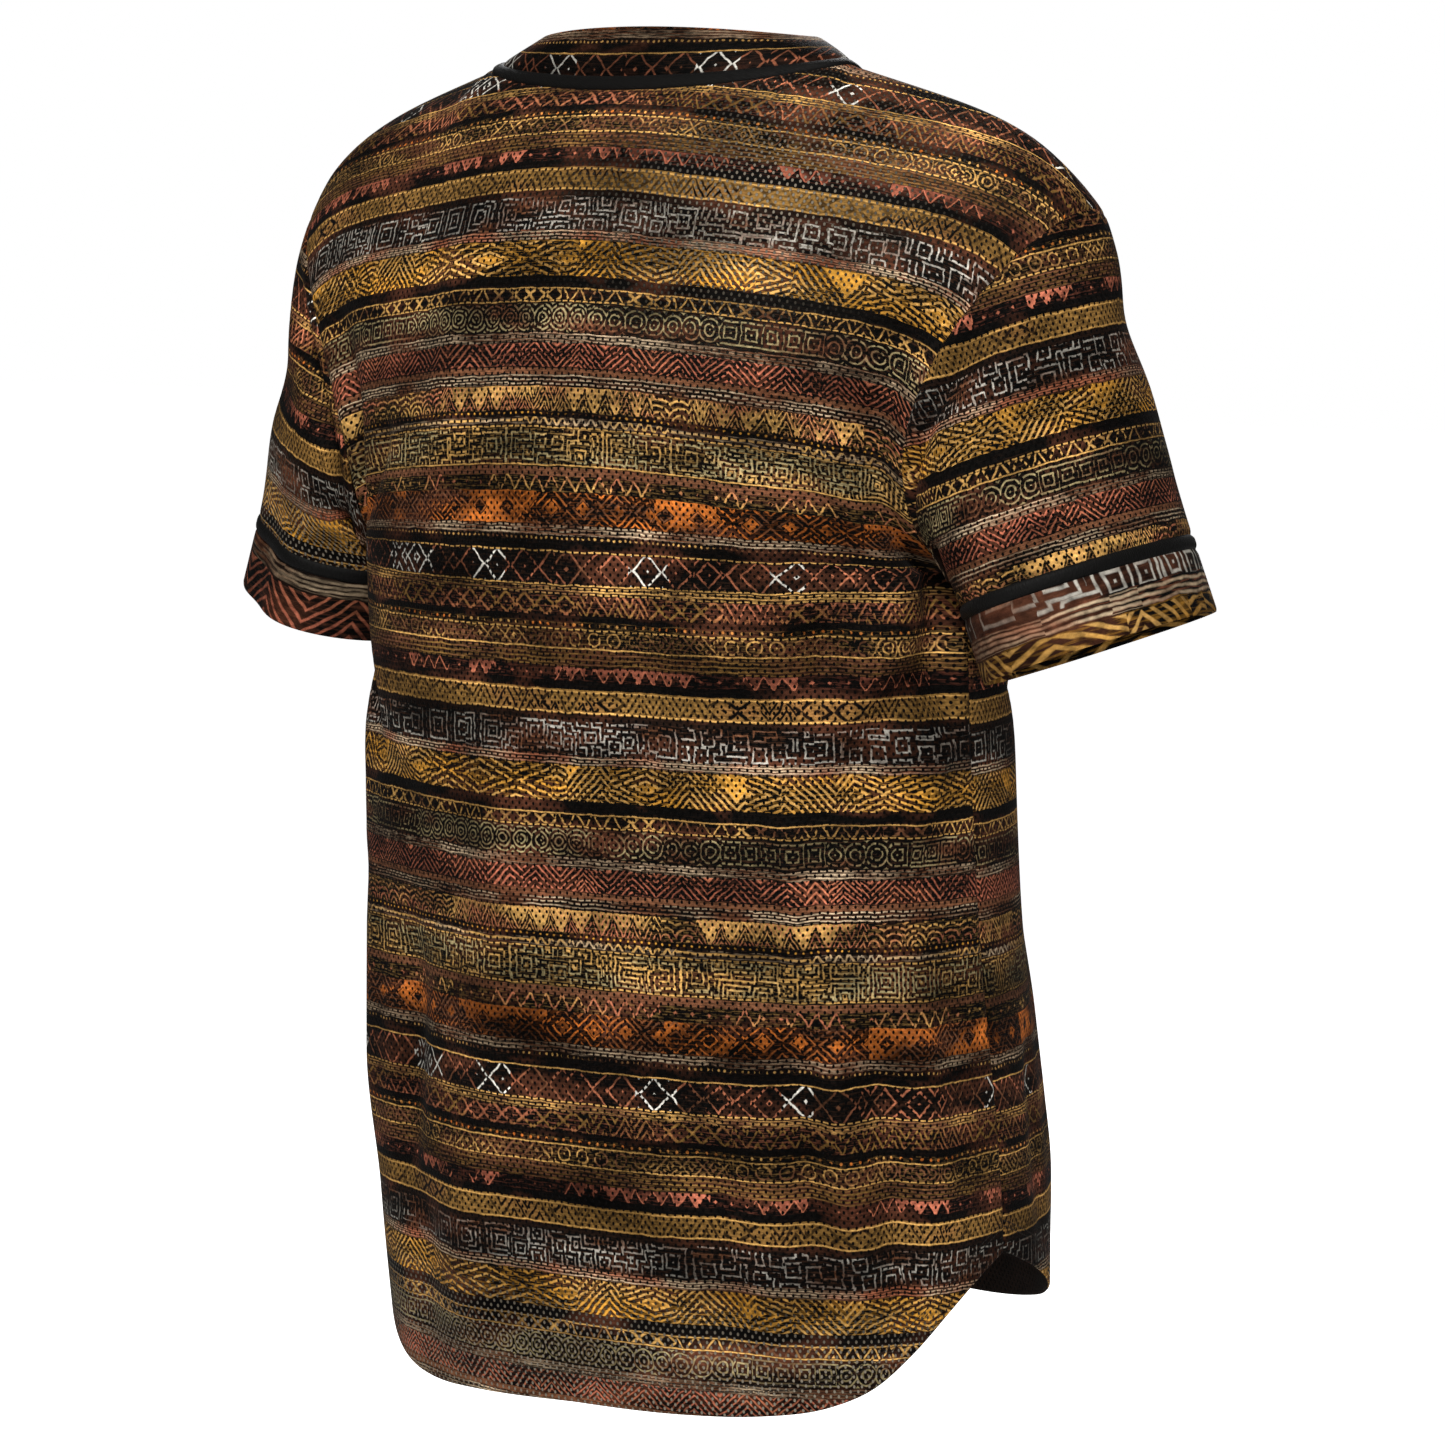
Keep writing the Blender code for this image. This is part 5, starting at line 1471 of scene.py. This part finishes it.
def button_resin(inks):
    """Cast polyester resin, tumbled: dark, glossy, with faint cloudy swirls."""
    made, tree = new_material("cast_polyester_resin")
    where = add(tree, "ShaderNodeTexCoord").outputs["Object"]
    swirl = add(tree, NOISE, {"Vector": where, "Scale": 260.0, "Detail": 3.0, "Distortion": 1.2})
    colour = add(tree, MIX, (swirl, inks["button"], inks["coal"]))
    rough = add(tree, MATH, (swirl, 0.2, 0.2), operation="MULTIPLY_ADD")
    bump = add(tree, "ShaderNodeBump", {"Height": swirl, "Distance": 0.05 * MM, "Strength": 0.5})
    surface = {"Base Color": colour, "Roughness": rough, "Normal": bump, "IOR": 1.54}
    add(tree, "ShaderNodeOutputMaterial", (add(tree, "ShaderNodeBsdfPrincipled", surface),))
    return made


def sewing_thread(inks):
    """Spun polyester thread: dull, twisted, nearly black."""
    made, tree = new_material("spun_polyester_thread")
    where = add(tree, "ShaderNodeTexCoord").outputs["Object"]
    plies = {"Vector": where, "Scale": 700.0, "Distortion": 2.0}
    twist = add(tree, "ShaderNodeTexWave", plies, bands_direction="DIAGONAL").outputs[1]
    colour = add(tree, MIX, (twist, inks["piping"], inks["thread"]))
    finish_cloth(tree, colour, twist, 0.7, 0.1, 0.2)
    return made


def studio_paper(inks):
    """Matt white background paper: even, without gloss, with the faintest cloudiness."""
    made, tree = new_material("matt_background_paper")
    where = add(tree, "ShaderNodeTexCoord").outputs["Object"]
    cloud = add(tree, NOISE, {"Vector": where, "Scale": 3.0, "Detail": 2.0})
    colour = add(tree, MIX, (cloud, inks["paper"], (1.0, 1.0, 1.0, 1.0)))
    surface = {"Base Color": colour, "Roughness": 0.95, "Specular IOR Level": 0.0}
    shader = add(tree, "ShaderNodeBsdfPrincipled", surface)
    # The paper is lit as brightly as the surround, without throwing that light up at the cloth
    sight = add(tree, "ShaderNodeLightPath").outputs["Is Camera Ray"]
    glow = add(tree, "ShaderNodeEmission", {"Strength": 0.97})
    dark = add(tree, "ShaderNodeEmission", {"Strength": 0.0})
    glow = add(tree, "ShaderNodeMixShader", (sight, dark, glow))
    add(tree, "ShaderNodeOutputMaterial", (add(tree, "ShaderNodeAddShader", (shader, glow)),))
    return made


WOVEN = "printed_plain_woven_polyester"
WOVEN_LARGE = "printed_plain_woven_polyester_large"


def shared_finish(kind, context):
    """One of the jersey's materials, made the first time that a piece asks for it."""
    sizes = context.scene.jersey_sizes
    colours = context.scene.jersey_colours
    inks = {name: (*getattr(colours, name), 1.0) for name in COLOURS}
    makers = {
        "knit": ("sublimated_polyester_mesh_knit", lambda: mesh_knit(sizes, inks)),
        "reverse": ("mesh_knit_reverse_painted_shade", lambda: knit_reverse(sizes, inks)),
        "woven": (WOVEN, lambda: woven_band(WOVEN, sizes, inks, 1.0, NECK_PAINTED_SHADE)),
        "woven_large": (WOVEN_LARGE, lambda: woven_band(WOVEN_LARGE, sizes, inks, sizes.band_print, 0.85)),
        "piping": ("black_polyester_piping_tape", lambda: piping_tape(inks)),
        "button": ("cast_polyester_resin", lambda: button_resin(inks)),
        "thread": ("spun_polyester_thread", lambda: sewing_thread(inks)),
        "paper": ("matt_background_paper", lambda: studio_paper(inks)),
    }
    name, make = makers[kind]
    return bpy.data.materials.get(name) or make()


def select_only(*pieces):
    bpy.ops.object.select_all(action="DESELECT")
    for piece in pieces:
        piece.select_set(True)
    bpy.context.view_layer.objects.active = pieces[0]


def joined(pieces):
    select_only(*pieces)
    bpy.ops.object.join()
    return bpy.context.object


def dress(piece, finish):
    """Gives a modelled piece its one material."""
    piece.data.materials.clear()
    piece.data.materials.append(finish)
    return piece


def pick(piece, kind, test):
    """In edit mode, selects the faces, edges or vertices that pass a test, and nothing else."""
    bpy.ops.mesh.select_mode(type=kind)
    bpy.ops.mesh.select_all(action="DESELECT")
    bpy.ops.object.mode_set(mode="OBJECT")
    data = piece.data
    if kind == "FACE":
        for face in data.polygons:
            face.select = test(face.center, face.normal)
    elif kind == "EDGE":
        for edge in data.edges:
            ends = [data.vertices[k].co for k in edge.vertices]
            edge.select = test(ends[0]) and test(ends[1])
    else:
        for point in data.vertices:
            point.select = test(point.co)
    bpy.ops.object.mode_set(mode="EDIT")


def model_button(sizes, finish):
    """A turned four-hole shirt button at the origin, face up: dished middle, rolled rim."""
    radius, thick = sizes.button_radius, BUTTON_THICK
    bpy.ops.object.select_all(action="DESELECT")
    bpy.ops.mesh.primitive_cylinder_add(vertices=56, radius=radius, depth=thick, location=(0, 0, thick / 2))
    button = bpy.context.object
    bpy.ops.object.transform_apply(location=True)
    bpy.ops.object.mode_set(mode="EDIT")
    for rim in (thick, 0.0):
        pick(button, "EDGE", lambda p: abs(p.z - rim) < 1e-6)
        bpy.ops.mesh.bevel(offset=0.55 * MM, segments=4, profile=0.5)
    middle = 0.2 * radius
    pick(button, "FACE", lambda p, n: n.z > 0.9 and p.z > 0.9 * thick and math.hypot(p.x, p.y) < middle)
    bpy.ops.mesh.inset(thickness=0.75 * MM)
    bpy.ops.mesh.inset(thickness=0.55 * MM)
    bpy.ops.transform.translate(value=(0, 0, -0.75 * MM))
    bpy.ops.mesh.inset(thickness=0.5 * MM)
    bpy.ops.transform.translate(value=(0, 0, -0.1 * MM))
    bpy.ops.object.mode_set(mode="OBJECT")

    bpy.ops.object.select_all(action="DESELECT")
    cutters = []
    for x in (-1, 1):
        for y in (-1, 1):
            place = (x * BUTTON_HOLES, y * BUTTON_HOLES, thick / 2)
            hole = {"radius": 0.75 * MM, "depth": 3 * thick}
            bpy.ops.mesh.primitive_cylinder_add(vertices=20, location=place, **hole)
            cutters.append(bpy.context.object)
    drill = joined(cutters)
    select_only(button)
    holes = button.modifiers.new("holes", "BOOLEAN")
    holes.object = drill
    holes.solver = "EXACT"
    bpy.ops.object.modifier_apply(modifier=holes.name)
    bpy.data.objects.remove(drill)
    bpy.ops.object.shade_smooth_by_angle(angle=math.radians(40))
    return dress(button, finish)


def model_button_thread(finish):
    """The thread that holds a button: two flat bars from hole to hole."""
    bars = []
    floor = BUTTON_THICK - 0.85 * MM
    for x in (-1, 1):
        bpy.ops.object.select_all(action="DESELECT")
        bpy.ops.mesh.primitive_uv_sphere_add(segments=16, ring_count=10, radius=1.0, location=(0, 0, 0))
        bar = bpy.context.object
        bar.scale = (0.55 * MM, BUTTON_HOLES + 0.5 * MM, 0.55 * MM)
        bar.location = (x * BUTTON_HOLES, 0, floor)
        bpy.ops.object.transform_apply(location=True, scale=True)
        bpy.ops.object.mode_set(mode="EDIT")
        pick(bar, "VERT", lambda p: abs(p.y) > BUTTON_HOLES - 0.3 * MM)
        bpy.ops.transform.translate(value=(0, 0, -0.5 * MM))
        bpy.ops.object.mode_set(mode="OBJECT")
        bars.append(bar)
    thread = joined(bars)
    bpy.ops.object.shade_smooth()
    return dress(thread, finish)


def model_buttonhole(sizes, finish):
    """A closed stitched buttonhole at the origin, its length along Y: a flat bead round a slit."""
    bpy.ops.object.select_all(action="DESELECT")
    size = {"major_radius": 0.9 * MM, "minor_radius": 0.75 * MM}
    bpy.ops.mesh.primitive_torus_add(major_segments=24, minor_segments=10, location=(0, 0, 0), **size)
    hole = bpy.context.object
    reach = sizes.button_radius + 2.2 * MM
    bpy.ops.object.mode_set(mode="EDIT")
    pick(hole, "VERT", lambda p: p.y > 1e-7)
    bpy.ops.transform.translate(value=(0, reach, 0))
    pick(hole, "VERT", lambda p: p.y < -1e-7)
    bpy.ops.transform.translate(value=(0, -reach, 0))
    bpy.ops.mesh.select_all(action="SELECT")
    bpy.ops.transform.resize(value=(1.0, 1.0, 0.4))
    bpy.ops.object.mode_set(mode="OBJECT")
    bpy.ops.object.shade_smooth()
    return dress(hole, finish)


def button_spots(lift, share):
    """Where the buttons sit: matrices that stand on the placket, moved out by a lift."""
    climbs = np.linspace(0.0, 2.0, 201)
    heights = panel_point(-1, np.zeros_like(climbs), climbs)[:, 2]
    spots = []
    for part in np.linspace(BUTTON_FIRST, BUTTON_LAST, BUTTON_COUNT):
        climb = float(np.interp(heights[-1] + (heights[0] - heights[-1]) * part, heights, climbs))
        around = np.array((climb - 0.01, climb, climb + 0.01))
        grid, normals = placket_surface(around, np.array((-0.004, 0.0, 0.004)), lift, share)
        turn = Vector(normals[1, 1]).to_track_quat("Z", "Y").to_matrix().to_4x4()
        spots.append(Matrix.Translation(Vector(grid[1, 1])) @ turn)
    return spots


def placed_copy(name, pattern, place):
    """A copy of a modelled part with its own mesh, its place put into the mesh."""
    data = pattern.data.copy()
    data.transform(place)
    data.name = name
    made = bpy.data.objects.new(name, data)
    bpy.context.scene.collection.objects.link(made)
    return made


def make_buttons(sizes, resin, thread):
    button = model_button(sizes, resin)
    shank = model_button_thread(thread)
    hole = model_buttonhole(sizes, thread)
    on_top = button_spots(2 * LAY_GAP + PLACKET_WALL, sizes.crease_share)
    on_cloth = button_spots(LAY_GAP + PLACKET_WALL, sizes.crease_share)
    for number, (above, cloth) in enumerate(zip(on_top, on_cloth), 1):
        keep(placed_copy(f"shirt_button_{number}", button, above), f"button_{number}")
        for name, pattern, place in (("button_thread", shank, above), ("buttonhole", hole, cloth)):
            piece = placed_copy(f"{name}_{number}", pattern, place)
            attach(piece, "root")
    for pattern in (button, shank, hole):
        bpy.data.objects.remove(pattern)


def make_stage(paper):
    """A pale floor far below the hem, a white surround, three soft lamps and the camera."""
    scene = bpy.context.scene
    bpy.ops.object.select_all(action="DESELECT")
    bpy.ops.mesh.primitive_plane_add(size=30.0, location=(0.0, 0.0, FLOOR_Z))
    floor = bpy.context.object
    floor.name = "studio_floor"
    bpy.ops.object.transform_apply(location=True)
    floor.data.materials.append(paper)

    world = bpy.data.worlds.new("white_surround")
    world.use_nodes = True
    world.node_tree.nodes.clear()
    tree = world.node_tree
    lit = add(tree, "ShaderNodeBackground", {"Color": (1.0, 1.0, 1.0, 1.0), "Strength": SURROUND})
    seen = add(tree, "ShaderNodeBackground", {"Color": (1.0, 1.0, 1.0, 1.0), "Strength": 1.0})
    sight = add(tree, "ShaderNodeLightPath").outputs["Is Camera Ray"]
    add(tree, "ShaderNodeOutputWorld", (add(tree, "ShaderNodeMixShader", (sight, lit, seen)),))
    scene.world = world

    target = Vector(VIEW_TARGET)
    for lamp in LAMPS:
        bpy.ops.object.select_all(action="DESELECT")
        bpy.ops.object.light_add(type="AREA", location=lamp.place)
        light = bpy.context.object
        light.name = lamp.name
        light.data.shape = "RECTANGLE"
        light.data.size = lamp.width
        light.data.size_y = lamp.height
        light.data.energy = lamp.watts
        light.data.color = lamp.tint
        light.rotation_euler = (target - light.location).to_track_quat("-Z", "Y").to_euler()

    bpy.ops.object.camera_add(location=VIEW_FROM)
    camera = bpy.context.object
    camera.name = "photo_camera"
    camera.rotation_euler = (target - camera.location).to_track_quat("-Z", "Y").to_euler()
    camera.data.lens = VIEW_LENS
    camera.data.sensor_width = 36.0
    camera.data.clip_start = 0.05
    camera.data.clip_end = 60.0
    scene.camera = camera
    scene.view_settings.view_transform = "Standard"
    scene.view_settings.look = "None"


VIEW_TARGET = (-0.01728, -0.01195, -0.36284)
VIEW_AZIMUTH = math.radians(214.669)
VIEW_RISE = math.radians(6.756)
VIEW_DISTANCE = 2.7
VIEW_LENS = 120.70
VIEW_FROM = (
    VIEW_TARGET[0] + VIEW_DISTANCE * math.sin(VIEW_AZIMUTH) * math.cos(VIEW_RISE),
    VIEW_TARGET[1] - VIEW_DISTANCE * math.cos(VIEW_AZIMUTH) * math.cos(VIEW_RISE),
    VIEW_TARGET[2] + VIEW_DISTANCE * math.sin(VIEW_RISE),
)
FLOOR_Z = -1.15
SURROUND = 0.06
BUTTON_HOLES = 1.35 * MM  # from the button's middle to its holes, along and across
Lamp = namedtuple("Lamp", "name place width height watts tint")
LAMPS = (
    Lamp("key_softbox", (-0.66, 1.38, 1.30), 0.7, 0.7, 60.0, (1.0, 0.99, 0.97)),
    Lamp("side_softbox", (-1.89, 2.07, 0.15), 1.0, 1.4, 16.0, (0.98, 0.99, 1.0)),
    Lamp("front_softbox", (1.2, -2.4, 1.3), 1.4, 1.4, 60.0, (1.0, 1.0, 1.0)),
)

COLOURS = {
    "coal": ("#0d0c0b", "Darkest ground of the print"),
    "gold": ("#f2bb6a", "Main line colour"),
    "amber": ("#ffb648", "Brightest yellow"),
    "orange": ("#ee8436", "Orange of fills and small marks"),
    "rust": ("#ca7a58", "Red-brown lines"),
    "brown": ("#7c5138", "Middle brown, which also runs into the grounds"),
    "umber": ("#241812", "Dark brown ground"),
    "bronze": ("#96703a", "Gold-brown ground under dark drawing"),
    "coral": ("#d0785c", "Warm red hatching"),
    "olive": ("#c0ae7e", "Green-gold line work"),
    "sand": ("#e2c6a2", "Pale brown thin lines"),
    "stone": ("#c8c2b6", "Grey line work"),
    "bone": ("#fbf6ea", "Off-white stretches"),
    # eyelet is painted shade: the dark seen through a hole
    "eyelet": ("#070606", "Inside of an eyelet"),
    # daylight is painted light: the pale seen through an eyelet with light behind it
    "daylight": ("#9a8f7e", "An eyelet with light behind it"),
    "thread": ("#2a2622", "Sewing thread"),
    "piping": ("#0e0e0e", "Piping tape"),
    "button": ("#1c1a18", "Buttons"),
    "paper": ("#fbfbfa", "Studio floor"),
}


def length_setting(name, default, note, low, high):
    return bpy.props.FloatProperty(
        name=name, description=note, default=default, min=low, max=high, unit="LENGTH", precision=5
    )


class JerseySizes(bpy.types.PropertyGroup):
    """Sizes of the cloth, its print and its trims."""

    cloth_wall: length_setting("Knit thickness", 1.0 * MM, "Thickness of the mesh knit", 0.0004, 0.0016)
    band_wall: length_setting(
        "Band thickness", 1.5 * MM, "Neckband and sleeve ends, two layers", 0.0006, 0.0018
    )
    seam_dip: length_setting("Seam groove", 0.8 * MM, "How deep the cloth rolls in at a seam", 0.0, 0.002)
    piping_bulge: length_setting("Piping bulge", 0.7 * MM, "How far the piping stands proud", 0.0, 0.0025)
    print_repeat: length_setting("Print repeat", 0.282, "Height of one repeat of the print", 0.05, 0.8)
    eyelet_pitch: length_setting("Eyelet pitch", 4.4 * MM, "Between eyelets in a row", 0.002, 0.02)
    eyelet_rows: length_setting("Eyelet rows", 2.8 * MM, "Between rows of eyelets", 0.001, 0.02)
    eyelet_radius: length_setting("Eyelet radius", 0.72 * MM, "Half an eyelet's width", 0.0001, 0.002)
    stitch_length: length_setting("Stitch length", 2.8 * MM, "One stitch and its gap", 0.001, 0.01)
    button_radius: length_setting("Button radius", BUTTON_RADIUS, "Half the buttons' width", 0.004, 0.008)
    band_print: bpy.props.FloatProperty(
        name="Band print",
        description="How much larger the bands' print is drawn",
        default=2.0,
        min=1.0,
        max=5.0,
    )
    crease_share: bpy.props.FloatProperty(
        name="Creases",
        description="How deep the creases are, against those modelled",
        default=1.25,
        min=0.0,
        max=1.5,
        subtype="FACTOR",
    )


def colour_setting(name, code, note):
    return bpy.props.FloatVectorProperty(
        name=name.capitalize(),
        description=note,
        default=linear(code),
        min=0.0,
        max=1.0,
        size=3,
        subtype="COLOR",
    )


class JerseyColours(bpy.types.PropertyGroup):
    """Colours of the print, trims and stage."""

    __annotations__ = {name: colour_setting(name, *row) for name, row in COLOURS.items()}


def knit_finishes(context):
    return [shared_finish("knit", context), shared_finish("reverse", context)]


class JERSEY_OT_back(bpy.types.Operator):
    """Makes the back panel"""

    bl_idname = "jersey.back"
    bl_label = "Back"

    def execute(self, context):
        make_back(context.scene.jersey_sizes, knit_finishes(context))
        return {"FINISHED"}


class JERSEY_OT_closing(bpy.types.Operator):
    """Makes both fronts and the placket on the wearer's left one"""

    bl_idname = "jersey.closing"
    bl_label = "Fronts and placket"

    def execute(self, context):
        sizes = context.scene.jersey_sizes
        finishes = knit_finishes(context)
        make_front("front_panel_right", "front_right", False, sizes, finishes)
        placket = make_placket(sizes, finishes)
        make_front("front_panel_left", "front_left", True, sizes, finishes)
        return {"FINISHED"}


class JERSEY_OT_sleeves(bpy.types.Operator):
    """Makes both sleeves, each with its piping and woven end"""

    bl_idname = "jersey.sleeves"
    bl_label = "Sleeves"

    def execute(self, context):
        sizes = context.scene.jersey_sizes
        knit = knit_finishes(context)
        woven = [shared_finish("woven_large", context)]
        piping = [shared_finish("piping", context)]
        make_sleeve("left", +1, sizes, knit, woven, piping)
        make_sleeve("right", -1, sizes, knit, woven, piping)
        return {"FINISHED"}


class JERSEY_OT_neck(bpy.types.Operator):
    """Makes the neckband and the piping in its seam"""

    bl_idname = "jersey.neck"
    bl_label = "Neckband"

    def execute(self, context):
        sizes = context.scene.jersey_sizes
        make_neck(sizes, [shared_finish("woven", context)], [shared_finish("piping", context)])
        return {"FINISHED"}


class JERSEY_OT_buttons(bpy.types.Operator):
    """Makes the buttons, their threads and the buttonholes"""

    bl_idname = "jersey.buttons"
    bl_label = "Buttons"

    def execute(self, context):
        resin = shared_finish("button", context)
        make_buttons(context.scene.jersey_sizes, resin, shared_finish("thread", context))
        return {"FINISHED"}


class JERSEY_OT_stage(bpy.types.Operator):
    """Makes the floor, surround, lamps and camera"""

    bl_idname = "jersey.stage"
    bl_label = "Stage"

    def execute(self, context):
        make_stage(shared_finish("paper", context))
        return {"FINISHED"}


class JERSEY_PT_sidebar(bpy.types.Panel):
    """Lists the jersey's steps, sizes and colours"""

    bl_label = "Baseball jersey"
    bl_idname = "JERSEY_PT_sidebar"
    bl_space_type = "VIEW_3D"
    bl_region_type = "UI"
    bl_category = "Jersey"

    def draw(self, context):
        layout = self.layout
        for operator in OPERATORS:
            layout.operator(operator.bl_idname)
        for group in (context.scene.jersey_sizes, context.scene.jersey_colours):
            box = layout.box()
            for name in group.bl_rna.properties.keys():
                if name not in ("rna_type", "name"):
                    box.prop(group, name)


OPERATORS = (
    JERSEY_OT_back,
    JERSEY_OT_closing,
    JERSEY_OT_sleeves,
    JERSEY_OT_neck,
    JERSEY_OT_buttons,
    JERSEY_OT_stage,
)
CLASSES = (JerseySizes, JerseyColours, *OPERATORS, JERSEY_PT_sidebar)


def register():
    for one in CLASSES:
        bpy.utils.register_class(one)
    bpy.types.Scene.jersey_sizes = bpy.props.PointerProperty(type=JerseySizes)
    bpy.types.Scene.jersey_colours = bpy.props.PointerProperty(type=JerseyColours)


def unregister():
    del bpy.types.Scene.jersey_colours
    del bpy.types.Scene.jersey_sizes
    for one in reversed(CLASSES):
        bpy.utils.unregister_class(one)


def main():
    register()
    bpy.ops.jersey.back()
    bpy.ops.jersey.closing()
    bpy.ops.jersey.sleeves()
    bpy.ops.jersey.neck()
    bpy.ops.jersey.buttons()
    bpy.ops.jersey.stage()


if __name__ == "__main__":
    main()
